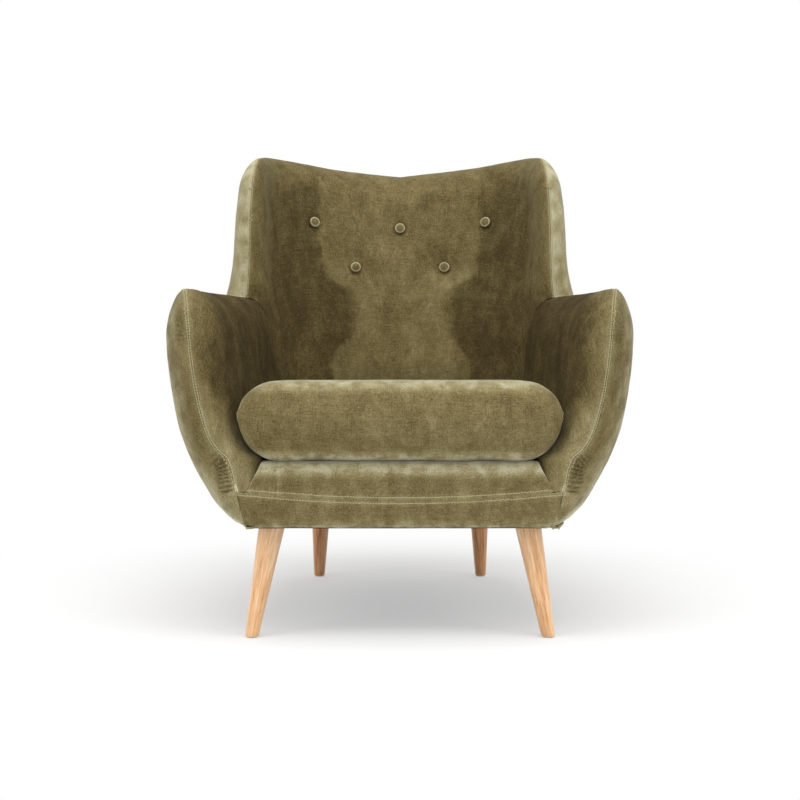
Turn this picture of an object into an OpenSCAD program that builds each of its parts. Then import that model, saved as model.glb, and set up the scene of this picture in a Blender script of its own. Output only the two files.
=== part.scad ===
// High-back armchair with a wrap-round upholstered shell, a loose seat cushion and four splayed legs.
// Millimetres, +Z up, the sitter faces -Y, origin on the floor under the middle of the chair.

/* [Overall] */
// Width over the arms
outside_w = 790; // [740:2:840]
// Depth from the cushion's nose to the outside back
depth = 778; // [740:2:820]
// Height of the highest point of the back
back_h = 876; // [820:2:920]
// Height of the arms
arm_h = 578; // [550:2:600]
// Height of the upholstered base above the floor
under_h = 186; // [170:2:200]
// Height of the deck under the cushion
deck_h = 294; // [288:1:300]

/* [Inside] */
// Thickness of each arm, from its outside to the seat
arm_wall = 99; // [92:1:107]
// How far inside the arms' outsides the wings' insides lie
wing_wall = 133; // [127:1:140]
// How far the arms stand back from the cushion's nose
arm_setback = 18; // [10:1:24]
// Radius over the top of the arms
arm_round = 80; // [70:1:86]
// Radius down the front of the arms
front_round = 70; // [62:1:76]
// Radius of the wings' front edges
wing_round = 72; // [66:1:76]
// Radius over the crest of the back
crest_round = 64; // [58:1:68]

/* [Padding] */
// Thickness of the velvet with its lining
cloth = 2; // [1.5:0.1:2.5]
// Thickness of the outside covers with their wadding
side_cloth = 5; // [4:0.5:6]
// Depth of the back foam in the middle
back_foam_t = 45; // [38:1:48]
// Depth of the arm and wing foam
arm_foam_t = 28; // [22:1:30]
// Depth of the deck foam
deck_foam_t = 39; // [34:1:39]
// Gap left between soft pieces
clear = 0.3; // [0.2:0.1:0.4]

/* [Buttons] */
// Diameter of the covered buttons
button_d = 22; // [18:1:26]
// Height of a button's dome
button_h = 6; // [4:0.5:8]
// How deep the buttons draw the back in
tuft_depth = 9; // [5:1:11]
// How wide each tuft spreads
tuft_spread = 34; // [28:1:40]

/* [Cushion] */
// Height of the cushion at its nose
cushion_h = 128; // [110:1:134]
// Gap between the cushion and the inside of the chair
cushion_gap = 3; // [2:0.5:6]
// Height of the ridge seam above the cushion's underside
ridge_h = 74; // [60:1:80]
// Drop of the cushion's top from front to rear
cushion_pitch = 12; // [6:1:16]
// Depth of the rounded nose
nose = 46; // [36:1:56]
// Length of the zip
zip_l = 210; // [160:2:220]

/* [Frame] */
// Thickness of the rails
rail_t = 24; // [20:1:28]
// Height of the rails
rail_h = 38; // [32:1:40]
// Thickness of the leg blocks
block_t = 18; // [16:1:20]
// Thickness of the posts and boards
board_t = 18; // [15:1:20]
// Thickness of the bent top rail
bent_t = 14; // [10:1:16]
// Thickness of the spring wire
wire = 3.6; // [3:0.1:4.2]

/* [Legs] */
// Leg diameter at the top
leg_top_d = 44; // [38:1:48]
// Leg diameter at the foot
leg_foot_d = 22; // [18:1:28]
// How far the front feet stand inside the arms' outsides
front_foot_in = 149; // [143:1:155]
// How far the front feet splay outward
front_out = 32; // [10:1:36]
// How far the front feet splay forward
front_ahead = 31; // [10:1:36]
// How far the rear feet stand inside the arms' outsides
rear_foot_in = 224; // [218:1:230]
// How far the rear feet splay outward
rear_out = 8; // [0:1:12]
// How far the rear feet splay backward
rear_behind = 56; // [30:1:60]
// Height of the glides under the feet
glide_h = 2.5; // [2:0.5:4]

/* [Hidden] */

$fn = 48;
velvet = "#7d7449";
foam_colour = "#e6dcae";
beech = "#c9a777";
ash = "#d9b083";
steel = "#9a9ca0";
linen = "#b39b6d";
black_cloth = "#2b2b2b";

// Heights and levels
// The walls are drawn from a width a little over the arms' own, which their rounded fronts then draw in
half_w = outside_w / 2 + 7;
inner_w = outside_w / 2 - arm_wall;
wing_w = outside_w / 2 - wing_wall;
front_y = -depth / 2 + arm_setback;
back_y = depth / 2;
block_z = under_h + 4;
rail_z = block_z + block_t;
rail_top = rail_z + rail_h;
junction_z = rail_top + clear;
foam_base = deck_h - cloth - clear - deck_foam_t;
function level(z) = z <= arm_h ? (z - under_h) / (arm_h - under_h) : 1 + (z - arm_h) / (back_h - arm_h);
function ramp(t) = let (k = min(1, max(0, t))) k * k * (3 - 2 * k);

// A smooth curve through hand-set points [level, value]
function slope(rows, i) =
    let (n = len(rows) - 1, p = max(0, i - 1), q = min(n, i + 1))
    (rows[q][1] - rows[p][1]) / (rows[q][0] - rows[p][0]);
function hermite(a, b, t, h, m0, m1) =
    (2 * t^3 - 3 * t^2 + 1) * a + (t^3 - 2 * t^2 + t) * h * m0
    + (3 * t^2 - 2 * t^3) * b + (t^3 - t^2) * h * m1;
function curve(rows, x) =
    x <= rows[0][0] ? rows[0][1]
    : x >= rows[len(rows) - 1][0] ? rows[len(rows) - 1][1]
    : let (k = max([for (i = [0:len(rows) - 2]) if (rows[i][0] <= x) i]), h = rows[k + 1][0] - rows[k][0])
        hermite(rows[k][1], rows[k + 1][1], (x - rows[k][0]) / h, h, slope(rows, k), slope(rows, k + 1));

// How far each face of the wall lies inside its driving size, by level
DROP_OUT_FRONT = [[0, 126], [0.015, 110], [0.05, 95], [0.1, 79], [0.176, 61], [0.29, 38], [0.42, 20],
    [0.6, 7], [0.8, 0], [1, 3], [2, 6]];
DROP_OUT_BACK = [[0, 156], [0.015, 140], [0.05, 123], [0.1, 106], [0.176, 86], [0.29, 60], [0.42, 41],
    [0.6, 26], [0.8, 28], [0.92, 42], [1.04, 57], [1.24, 68], [1.58, 73], [2, 86]];
DROP_IN_FRONT = [[0, 45], [level(junction_z), 46], [level(deck_h + 4), 70], [level(deck_h + 20), 51],
    [level(deck_h + 41), 38], [level(deck_h + 79), 29], [0.6, 19], [0.8, 8], [1, 0], [2, -4]];
DROP_IN_BACK = [[0, 47], [level(deck_h + 4), 47], [level(deck_h + 41), 32], [level(deck_h + 79), 26],
    [0.6, 19], [0.8, 12], [1, 5], [1.4, 0], [2, 0]];
DROP_REAR_OUT = [[0, 110], [0.015, 101], [0.05, 94], [0.29, 84], [0.8, 59], [1.41, 26], [2, -6]];
DROP_REAR_IN = [[0, 250], [0.6, 230], [0.8, 216], [1.24, 184], [2, 130]];
WING_EDGE = [[0, 0], [0.8, 12], [1.07, 30], [1.41, 42], [1.75, 66], [2, 98]];
FRONT_LEAN = [[0, 21], [0.015, 12], [0.05, 5], [0.12, 0.6], [0.2, 0], [0.5, 0], [0.85, 0], [1, 4]];
SHARE_FRONT = [[0, 0.1], [0.15, 0.22], [0.2, 0.38], [0.29, 0.51], [0.4, 0.59], [0.55, 0.63], [0.85, 0.65], [1, 0.7]];
CREST_DROP = [[400, 20], [450, 13], [530, 1], [600, 1], [700, 14], [800, 26]];
INNER_POWER = [[0, 2.4], [0.8, 2.3], [1.24, 2.6], [2, 2.9]];
OUTER_POWER = [[0, 3.4], [0.3, 3.1], [0.8, 2.7], [2, 2.9]];

// Places on the wall: run goes 0 at the arm's front, 400 at the wing's edge, 800 at the middle of the back
edge_run = 400;
function out_front_x(z) = half_w - curve(DROP_OUT_FRONT, level(z));
function out_back_x(z) = half_w - curve(DROP_OUT_BACK, level(z));
function in_front_x(z) = inner_w - curve(DROP_IN_FRONT, level(z));
function in_back_x(z) = wing_w - curve(DROP_IN_BACK, level(z));
function rear_out_y(z) = back_y - curve(DROP_REAR_OUT, level(z));
function rear_in_y(z) = back_y - curve(DROP_REAR_IN, level(z));
function edge_y(z) = curve(WING_EDGE, level(z));
function face_y(z) = front_y + max(0, curve(FRONT_LEAN, level(z)));
function in_power(z) = curve(INNER_POWER, level(z));
function out_power(z) = curve(OUTER_POWER, level(z));
function arm_y(run, z) = face_y(z) + (edge_y(z) - face_y(z)) * run / edge_run;
function bend(run, w, y0, y1, n) =
    let (t = (run - edge_run) * 90 / edge_run, c = cos(t), s = sin(t), k = (abs(c)^n + abs(s)^n)^(-1 / n))
    [-w * c * k, y0 + (y1 - y0) * s * k];
function outer_at(run, z) =
    run > edge_run ? bend(run, out_back_x(z), edge_y(z), rear_out_y(z), out_power(z))
    : let (w0 = out_front_x(z), w1 = out_back_x(z))
        [34 * max(0, 1 - run / 200)^2 - w0 - (w1 - w0) * ramp((run - 60) / 340), arm_y(run, z)];
function inner_at(run, z) =
    run > edge_run ? bend(run, in_back_x(z), edge_y(z), rear_in_y(z), in_power(z))
    : let (w0 = in_front_x(z), w1 = in_back_x(z), low = 1 - ramp((z - junction_z - 4) / 80),
        near = 1 - ramp((run - front_round) / 60))
        [-w0 - (w1 - w0) * ramp(run / edge_run),
        face_y(z) + (arm_y(run, z) - face_y(z)) * (1 - low * near)];

// The rim, where the inside panels meet the outside ones, and how full the wall is away from it
function crest(run) = back_h - curve(CREST_DROP, run);
function drop(r, t) = r * (1 - sqrt(max(0, 1 - t * t)));
function rim_z(run) =
    run < edge_run ? arm_h - drop(arm_round, max(0, 1 - run / front_round))
    : crest(run) - drop(crest_round, max(0, 1 - (run - edge_run) / wing_round));
function arm_a(run) = run < edge_run ? max(0, 1 - run / front_round) : 0;
function arm_b(z) = z <= arm_h ? max(0, 1 - (arm_h - z) / arm_round) : 1 - ramp((z - arm_h) / 60);
function arm_full(run, z) = z > arm_h ? 0 : sqrt(max(0, 1 - arm_a(run)^2 - arm_b(z)^2));
function back_a(run) = run < edge_run ? 0 : max(0, 1 - (run - edge_run) / wing_round);
function back_b(run, z) = run < edge_run ? 0 : max(0, 1 - (crest(run) - z) / crest_round);
function back_full(run, z) = run < edge_run ? 0 : sqrt(max(0, 1 - back_a(run)^2 - back_b(run, z)^2));
function share(run, z) =
    let (front = curve(SHARE_FRONT, level(z)), rear = 0.42 + 0.08 * ramp((run - edge_run) / 200))
    front + (rear - front) * ramp((run - 200) / 200);

// A point at depth d under the inside face (side 1) or the outside face (side -1)
function skin(run, z, side, d) =
    let (fa = arm_full(run, z), fb = back_full(run, z),
        r = run + d * (arm_a(run) + back_a(run) * (1 - fa)),
        h = z - d * (arm_b(z) * (1 - fb) + back_b(run, z)),
        i = inner_at(r, h), o = outer_at(r, h), u = (o - i) / norm(o - i),
        m = i + (o - i) * share(r, h) - u * side * clear / 2,
        s = side > 0 ? i + u * d : o - u * d,
        f = (1 - (1 - fa) * (1 - fb))^(side > 0 ? 0.88 : 1.12),
        p = m + (s - m) * f)
    [p[0], p[1], h];

// Where the inside arm panel meets the inside back, and the rows and columns of the panels
function panel_run(z) = edge_run + (z > arm_h ? 0 : 70 * ramp((arm_h - z) / 110));
ARM_RUNS = [0, 0.03, 0.115, 0.27, 0.49, 0.74, 1];
BACK_RUNS = [400, 404, 414, 432, 458, 500, 545, 590, 633, 673, 713, 757, 800];
CREST_ROWS = [0, 0.012, 0.05, 0.11, 0.2, 0.34, 0.503, 0.68, 0.855, 1];
WALL_ROWS = [0.01, 0.04, 0.09, 0.157, 0.234, 0.36, 0.54, 0.7, 0.765, 0.805, 0.84, 1];
REAR_ROWS = [0.01, 0.04, 0.09, 0.157, 0.234, 0.36, 0.54, 0.7, 0.84, 1];
UNDER_ROWS = [0.35, 0.6, 0.8, 0.93, 1];
function waist_z(run) = arm_h + 34 * ramp((run - edge_run) / 200);
function foot_z(run) = junction_z + (foam_base - junction_z) * ramp((run - edge_run) / 60);
function crest_rows(run) = [for (e = CREST_ROWS) rim_z(run) + (waist_z(run) - rim_z(run)) * e];
function wall_rows(run, rows = WALL_ROWS) = let (t = run < edge_run ? rim_z(run) : waist_z(run))
    [for (g = rows) t + (foot_z(run) - t) * g];
function under_rows(run) = [for (k = UNDER_ROWS) foot_z(run) + (under_h - foot_z(run)) * k];
function arm_runs(last) = concat([for (k = ARM_RUNS) k * front_round],
    [for (k = [0.19, 0.4, 0.61, 0.81, 1]) front_round + (last - front_round) * k]);

// Tufts: the run and crest row of each button, and how far they draw the back in
BUTTONS = [[800, 6, 1], [633, 6, 1], [633, 6, -1], [713, 8, 1], [713, 8, -1]];
function button_z(b) = crest_rows(b[0])[b[1]];
function button_xz(b) = let (p = skin(b[0], button_z(b), 1, 0)) [p[0] * b[2], p[2]];
BUTTON_XZ = [for (b = BUTTONS) button_xz(b)];
function tuft(x, z) = tuft_depth * max([for (q = BUTTON_XZ) exp(-norm([x, z] - q)^2 / tuft_spread^2)]);
function tufted(run, z, d) =
    let (p = skin(run, z, 1, d), s = skin(run, z, 1, 0), i = inner_at(run, z), o = outer_at(run, z),
        u = (o - i) / norm(o - i), t = tuft(s[0], s[2]))
    [p[0] + u[0] * t, p[1] + u[1] * t, p[2]];

// Grids of points over each panel
function back_columns(z, c) = c >= 633 || c < edge_run ? c : panel_run(z) + (c - edge_run) * (633 - panel_run(z)) / 233;
function both_sides(half) = concat(half,
    [for (i = [len(half) - 2:-1:0]) [for (p = half[i]) [-p[0], p[1], p[2]]]]);
function at_border(c, gap) = [0, c == edge_run ? gap : 0, 0];
function inside_back(d, gap) = both_sides([for (c = BACK_RUNS)
    [for (z = concat(crest_rows(c), wall_rows(c))) tufted(back_columns(z, c), z, d) + at_border(c, gap)]]);
function foam_depth(run) = cloth + clear + arm_foam_t + (back_foam_t - arm_foam_t) * ramp((run - 440) / 120);
foam_gap = 0.8;
function back_foam_rear() = both_sides([for (c = BACK_RUNS)
    [for (z = concat(crest_rows(c), wall_rows(c))) let (run = back_columns(z, c))
        skin(run, z, 1, foam_depth(run)) + at_border(c, foam_gap)]]);
function inside_arm(d, gap) = [for (k = arm_runs(edge_run)) [for (g = concat([0], WALL_ROWS))
    let (top = rim_z(min(k, edge_run - 0.01)), z = top + (foot_z(k) - top) * g,
        run = k <= front_round ? k : front_round
            + (k - front_round) * (panel_run(z) - front_round) / (edge_run - front_round))
    skin(run, z, 1, d) + at_border(k, -gap)]];
function outside_arm(d) = [for (k = arm_runs(edge_run))
    [for (z = concat([rim_z(min(k, edge_run - 0.01))], wall_rows(k), under_rows(k)))
        skin(k, z, -1, d) + at_border(k, -clear)]];
function outside_back(d) = both_sides([for (c = BACK_RUNS)
    [for (z = concat(crest_rows(c), wall_rows(c, REAR_ROWS), under_rows(c)))
        skin(c, z, -1, d) + at_border(c, clear)]]);

// A closed sheet between two grids of points; seen from outside, the front's columns run right as its rows run down
module sheet(front, rear) {
    n = len(front);
    m = len(front[0]);
    size = n * m;
    face = [for (i = [n - 2:-1:0], j = [m - 2:-1:0]) each [
        [i * m + j, (i + 1) * m + j, i * m + j + 1], [i * m + j + 1, (i + 1) * m + j, (i + 1) * m + j + 1]]];
    reverse = [for (t = face) [t[0] + size, t[2] + size, t[1] + size]];
    loop = concat([for (j = [0:m - 1]) j], [for (i = [1:n - 1]) i * m + m - 1],
        [for (j = [m - 2:-1:0]) (n - 1) * m + j], [for (i = [n - 2:-1:1]) i * m]);
    side = [for (k = [0:len(loop) - 1]) let (p = loop[k], q = loop[(k + 1) % len(loop)]) each [
        [p, q, p + size], [q, q + size, p + size]]];
    points = concat([for (c = front) each c], [for (c = rear) each c]);
    polyhedron(points, concat(face, reverse, side));
}

// Velvet panels of the shell
module inside_back_cover() {
    color(velvet) sheet(inside_back(0, clear / 2), inside_back(cloth, clear / 2));
}

module inside_arm_cover() {
    color(velvet) sheet(inside_arm(0, clear / 2), inside_arm(cloth, clear / 2));
}

module outside_arm_cover() {
    color(velvet) sheet(outside_arm(side_cloth), outside_arm(0));
}

module outside_back_cover() {
    color(velvet) sheet(outside_back(side_cloth), outside_back(0));
}

// Front band: an upper panel rolled over the deck's edge and a lower one, seamed a little above the base
band_roll = 20;
band_back_y = front_y + 53;
band_seam_dip = 13;
function seam_z(x) = junction_z - 1 - band_seam_dip * (1 - (x / in_front_x(junction_z))^2);
function band_x(z) = -inner_at(front_round, z)[0] - clear;
function roll(d) = let (r = band_roll - d, y = front_y + band_roll, z = deck_h - band_roll)
    concat([for (t = [0, 30, 60, 90]) [y - r * cos(t), z + r * sin(t)]], [[band_back_y, deck_h - d]]);
function upper_band(d) = [for (k = [-1:0.25:1]) let (low = seam_z(k * band_x(junction_z)) + clear / 2)
    concat([for (z = [low, (low + deck_h - band_roll) / 2]) [k * band_x(max(z, junction_z)), front_y + d, z]],
        [for (p = roll(d)) [k * band_x(p[1]), p[0], p[1]]])];
function lower_x(z) = -skin(0, z, 1, 0)[0] - 2 * clear;
function lower_band(d) = [for (k = [-1:0.25:1]) let (top = seam_z(k * band_x(junction_z)) - clear / 2)
    [for (g = [0, 0.4, 0.68, 0.86, 0.96, 1]) let (z = top + (under_h - top) * g)
        [k * lower_x(z), face_y(z) + d, z]]];

module front_band_upper() {
    color(velvet) sheet(upper_band(cloth), upper_band(0));
}

module front_band_lower() {
    color(velvet) sheet(lower_band(0), lower_band(cloth));
}

rail_front_y = front_y + 26;
pad_z = rail_z - 8;
module front_band_pad() {
    d = cloth + clear;
    face = [for (z = [pad_z, rail_z + 10, deck_h - band_roll - 10]) [face_y(z) + d + 0.7, z]];
    hollow = [[band_back_y, foam_base], [rail_front_y - clear, foam_base], [rail_front_y - clear, pad_z]];
    outline = concat(face, [for (p = roll(d)) p], hollow);
    long = band_x(deck_h + 4) - clear;
    color(foam_colour) rotate([90, 0, 90]) translate([0, 0, -long]) linear_extrude(2 * long) polygon(outline);
}

// Deck under the cushion
narrow_z = deck_h + 4;
function deck_outline(z, y0, gap) =
    let (half = concat([[inner_at(front_round, narrow_z)[0] + gap, y0]],
        [for (c = concat([edge_run / 2], BACK_RUNS))
            if (c < 800) let (p = inner_at(back_columns(z, c), z), q = inner_at(back_columns(z, c), narrow_z))
                [max(p[0], q[0]) + gap, p[1] - gap]]))
    concat(half, [for (i = [len(half) - 1:-1:0]) [-half[i][0], half[i][1]]]);
module deck_layer(z, t) {
    translate([0, 0, z]) linear_extrude(t) polygon(deck_outline(z, band_back_y + clear, clear));
}

module deck_cover() {
    color(velvet) deck_layer(deck_h - cloth, cloth);
}

module deck_foam() {
    color(foam_colour) deck_layer(foam_base, deck_foam_t);
}

hessian_t = 0.8;
module spring_hessian() {
    color(linen) deck_layer(foam_base - clear - hessian_t, hessian_t);
}

// Dust cover on the underside, cut round the legs
dust_t = 1;
dust_inset = 4;
module dust_cover() {
    half = concat([for (c = [8, 30, 70, 200, 400, 450, 500, 560, 620, 690, 750])
        let (p = outer_at(c, under_h)) [p[0] + dust_inset, max(p[1], face_y(under_h) + dust_inset)]]);
    outline = concat(half, [for (i = [len(half) - 1:-1:0]) [-half[i][0], half[i][1]]]);
    color(black_cloth) difference() {
        translate([0, 0, under_h - dust_t - 0.8]) linear_extrude(dust_t) polygon(
            [for (p = outline) [p[0], min(p[1], rear_out_y(under_h) - dust_inset)]]);
        for (l = LEGS) translate([leg_at(l, under_h)[0], leg_at(l, under_h)[1], under_h - 10])
            cylinder(d = leg_top_d + 6, h = 20);
    }
}

// Foam
module back_foam() {
    color(foam_colour) sheet(inside_back(cloth + clear, foam_gap), back_foam_rear());
}

module arm_foam() {
    color(foam_colour) sheet(inside_arm(cloth + clear, foam_gap), inside_arm(cloth + clear + arm_foam_t, foam_gap));
}

// Covered buttons that draw the tufts in
button_lift = 2.8;
plate_t = 1.2;
module at_button(b) {
    z = button_z(b);
    p = tufted(b[0], z, 0);
    along = skin(b[0] - 1, z, 1, 0) - skin(b[0] + 1, z, 1, 0);
    up = skin(b[0], z + 1, 1, 0) - skin(b[0], z - 1, 1, 0);
    n = cross(up, along) / norm(cross(up, along));
    mirror([b[2] > 0 ? 0 : 1, 0, 0]) translate(p + n * (clear + button_lift))
        rotate([0, acos(n[2]), atan2(n[1], n[0])]) children();
}

module back_buttons() {
    r = button_d / 2;
    ball = (r * r + (button_h - 2)^2) / (2 * (button_h - 2));
    color(velvet) for (b = BUTTONS) at_button(b) translate([0, 0, plate_t + clear]) intersection() {
        cylinder(r = r, h = button_h);
        translate([0, 0, button_h - ball]) sphere(ball);
    }
}

module button_plates() {
    color(steel) for (b = BUTTONS) at_button(b) cylinder(d = button_d - 3, h = plate_t);
}

// Base frame
side_x = inner_w - 46;
corner_y = back_y - 277;
rear_rail_y = back_y - 163;
rear_rail_x = wing_w - 86;
module box(x0, x1, y0, y1, z0, z1) {
    translate([x0, y0, z0]) cube([x1 - x0, y1 - y0, z1 - z0]);
}

module front_rail() {
    color(beech) box(-side_x + rail_t / 2, side_x - rail_t / 2, rail_front_y, rail_front_y + rail_t, rail_z, rail_top);
}

module rear_rail() {
    color(beech) box(-rear_rail_x, rear_rail_x, rear_rail_y, rear_rail_y + rail_t, rail_z, rail_top);
}

module side_rail() {
    color(beech) box(-side_x, -side_x + rail_t, rail_front_y + rail_t, corner_y, rail_z, rail_top);
}

module rear_corner_rail() {
    color(beech) translate([0, 0, rail_z]) linear_extrude(rail_h) polygon([[-side_x, corner_y],
        [-side_x + rail_t, corner_y], [-rear_rail_x, rear_rail_y], [-rear_rail_x, rear_rail_y + rail_t]]);
}

// Legs: where each foot stands and how it splays on its way down from the base
rear_top_y = back_y - 185;
front_foot_x = outside_w / 2 - front_foot_in;
rear_foot_x = outside_w / 2 - rear_foot_in;
front_top_y = front_y + 81;
LEGS = [[-front_foot_x, front_top_y - front_ahead, front_out, front_ahead],
    [front_foot_x, front_top_y - front_ahead, -front_out, front_ahead],
    [-rear_foot_x, rear_top_y + rear_behind, rear_out, -rear_behind],
    [rear_foot_x, rear_top_y + rear_behind, -rear_out, -rear_behind]];
function leg_at(l, z) = [l[0] + l[2] * z / under_h, l[1] + l[3] * z / under_h, z];
module along_leg(l, z) {
    translate(leg_at(l, z)) rotate([0, atan(norm([l[2], l[3]]) / under_h), atan2(l[3], l[2])])
        rotate([0, 0, 60]) children();
}

bolt_d = 8;
bolt_in_leg = 40;
bolt_above = 16;
steel_t = 2.5;
leg_top_z = block_z - steel_t;
module leg(l) {
    extra = 15;
    grow = (leg_top_d - leg_foot_d) / 2 * extra / under_h;
    color(ash) difference() {
        along_leg(l, 0) translate([0, 0, -extra]) cylinder(r1 = leg_foot_d / 2 - grow,
            r2 = leg_top_d / 2 + grow, h = norm([l[2], l[3], under_h]) + 2 * extra);
        for (z = [glide_h - 60, leg_top_z]) translate([leg_at(l, z)[0] - 60, leg_at(l, z)[1] - 60, z])
            cube([120, 120, 60]);
        along_leg(l, leg_top_z) translate([0, 0, -bolt_in_leg]) cylinder(d = bolt_d, h = bolt_in_leg + 9);
    }
}

module foot_glides() {
    color("#d8d3c6") for (l = LEGS) translate([leg_at(l, glide_h)[0], leg_at(l, glide_h)[1], 0])
        cylinder(d = leg_foot_d - 4, h = glide_h);
}

module leg_bolts() {
    color(steel) for (l = LEGS) along_leg(l, leg_top_z) translate([0, 0, -bolt_in_leg + 2])
        cylinder(d = bolt_d, h = bolt_in_leg - 2 + bolt_above);
}

plate_w = 56;
plate_screw = 22;
boss_d = 14;
boss_hole = 25;
module leg_plates() {
    color(steel) for (l = LEGS) let (c = leg_at(l, leg_top_z)) difference() {
        union() {
            translate([c[0] - plate_w / 2, c[1] - plate_w / 2, leg_top_z]) cube([plate_w, plate_w, steel_t]);
            intersection() {
                along_leg(l, leg_top_z) cylinder(d = boss_d, h = bolt_above);
                translate([c[0] - plate_w / 2, c[1] - plate_w / 2, leg_top_z]) cube(plate_w);
            }
        }
        along_leg(l, leg_top_z) translate([0, 0, -10]) cylinder(d = bolt_d, h = bolt_above + 20);
        for (x = [-plate_screw, plate_screw], y = [-plate_screw, plate_screw])
            translate([c[0] + x, c[1] + y, leg_top_z - 5]) cylinder(d = screw_d, h = 20);
    }
}

screw_d = 4;
screw_l = 16;
head_d = 7.5;
head_h = 1.8;
module plate_screws() {
    color(steel) for (l = LEGS, x = [-plate_screw, plate_screw], y = [-plate_screw, plate_screw])
        let (c = leg_at(l, leg_top_z)) translate([c[0] + x, c[1] + y, leg_top_z]) {
            cylinder(d = screw_d, h = screw_l);
            translate([0, 0, -head_h]) cylinder(d = head_d, h = head_h);
        }
}

block_w = 66;
module leg_blocks() {
    z0 = block_z;
    color(beech) for (l = LEGS) let (c = leg_at(l, leg_top_z)) difference() {
        translate([c[0] - block_w / 2, c[1] - block_w / 2, z0]) cube([block_w, block_w, block_t]);
        translate([c[0], c[1], z0 - 5]) cylinder(d = boss_hole, h = block_t + 10);
        for (x = [-plate_screw, plate_screw], y = [-plate_screw, plate_screw])
            translate([c[0] + x, c[1] + y, z0 - 5]) cylinder(d = screw_d, h = screw_l - steel_t + 5);
    }
}

// Arm frame: a shaped front post, a rear block, a top rail and the wing board
post_y0 = front_y + 81;
post_y1 = post_y0 + rail_t;
post_run0 = 84;
post_run1 = 114;
foam_back = cloth + clear + arm_foam_t + 1;
frame_out = side_cloth + 1;
function post_edge(z, side, d) =
    let (p = skin(post_run0, z, side, d), q = skin(post_run1, z, side, d))
    [side > 0 ? min(p[0], q[0], -side_x) : max(p[0], q[0]), p[2]];
post_min_w = 12;
function post_w(z) = post_edge(z, 1, foam_back + 1)[0] - post_edge(z, -1, frame_out + 1)[0];
post_high = arm_h - 28;
post_top = max([for (down = [0:2:arm_h / 2]) if (post_w(post_high - down) >= post_min_w) post_high - down]);
module arm_front_post() {
    rows = [for (k = [0:12]) rail_z + (post_top - rail_z) * k / 12];
    out = [for (z = rows) post_edge(z, -1, frame_out + 1)];
    in = [for (k = [12:-1:0]) post_edge(rows[k], 1, foam_back + 1)];
    color(beech) translate([0, post_y1, 0]) rotate([90, 0, 0]) linear_extrude(rail_t) polygon(concat(out, in));
}

board_x = inner_w + 1;
board_base = deck_h + 8;
module arm_rear_block() {
    color(beech) translate([0, corner_y - 4, 0]) rotate([90, 0, 0]) linear_extrude(68) polygon([
        [-side_x, rail_z + 4], [-side_x - 14, rail_z + 4], [-board_x - 4, board_base - 22],
        [-board_x - board_t, board_base], [-side_x, board_base]]);
}

arm_rail_z = arm_h - 88;
arm_rail_w = 32;
module arm_top_rail() {
    x = board_x + board_t;
    color(beech) box(-x - arm_rail_w, -x, post_y1, corner_y + 8, arm_rail_z, arm_rail_z + rail_t);
}

board_top = back_h - 106;
board_rear_y = back_y - 219;
module wing_board() {
    front = [for (k = [0:6]) let (z = board_base + (board_top - board_base) * k / 6) [edge_y(z) + 55, z]];
    color(beech) translate([-board_x - board_t, 0, 0]) rotate([90, 0, 90]) linear_extrude(board_t)
        polygon(concat(front, [[board_rear_y, board_top], [board_rear_y - 10, board_base + 60],
            [corner_y - 4, board_base]]));
}

// Back frame: two posts, a bent top rail, two cross rails and elastic webbing
post_x = wing_w - 124;
post_d = 45;
post_lean = 70;
top_rail_z = board_top - 14;
top_rail_h = 34;
rail_depth = back_foam_t + cloth + clear + 4;
function bent(d, x, z) =
    let (w = in_back_x(z) + d, y = rear_in_y(z) + d - edge_y(z), n = in_power(z))
    edge_y(z) + y * (1 - min(1, x / w)^n)^(1 / n);
module back_top_rail() {
    z = top_rail_z + top_rail_h;
    end_in = board_x - 4;
    end_out = board_x + board_t - 7;
    near = [for (k = [-1:0.1:1]) let (x = k * end_in) [x, max(board_rear_y, bent(rail_depth, abs(x), z))]];
    far = [for (k = [1:-0.1:-1]) let (x = k * end_out)
        [x, max(board_rear_y, bent(rail_depth + bent_t, abs(x), z))]];
    color(beech) translate([0, 0, top_rail_z]) linear_extrude(top_rail_h) polygon(concat(near, far));
}

function post_front(z) = back_y - 184 + (z - rail_top) * post_lean / (top_rail_z - rail_top);
module back_post() {
    color(beech) translate([-post_x - rail_t, 0, 0]) rotate([90, 0, 90]) linear_extrude(rail_t) polygon([
        [post_front(rail_top), rail_top], [post_front(rail_top) + post_d, rail_top],
        [post_front(top_rail_z) + post_d, top_rail_z], [post_front(top_rail_z), top_rail_z]]);
}

cross_t = 20;
cross_h = 30;
module cross_rail(z, y) {
    color(beech) box(-post_x, post_x, y, y + cross_t, z, z + cross_h);
}

module back_mid_rail() {
    z = arm_h - 108;
    cross_rail(z, post_front(z + cross_h) + 2);
}

low_rail_z = deck_h + 6;
module back_low_rail() {
    cross_rail(low_rail_z, bent(rail_depth, 0, low_rail_z + cross_h) + clear);
}

strap_w = 40;
strap_t = 1.5;
module back_webbing() {
    color(linen) for (x = [-60, 0, 60]) {
        from = max(0, abs(x) - strap_w / 2);
        rows = [for (k = [0:12]) low_rail_z + (top_rail_z + top_rail_h - low_rail_z) * k / 12];
        near = [for (z = rows) [bent(back_foam_t + cloth + clear + 0.9, from, z), z]];
        far = [for (i = [12:-1:0]) near[i] + [strap_t, 0]];
        translate([x - strap_w / 2, 0, 0]) rotate([90, 0, 90]) linear_extrude(strap_w) polygon(concat(near, far));
    }
}

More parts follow.
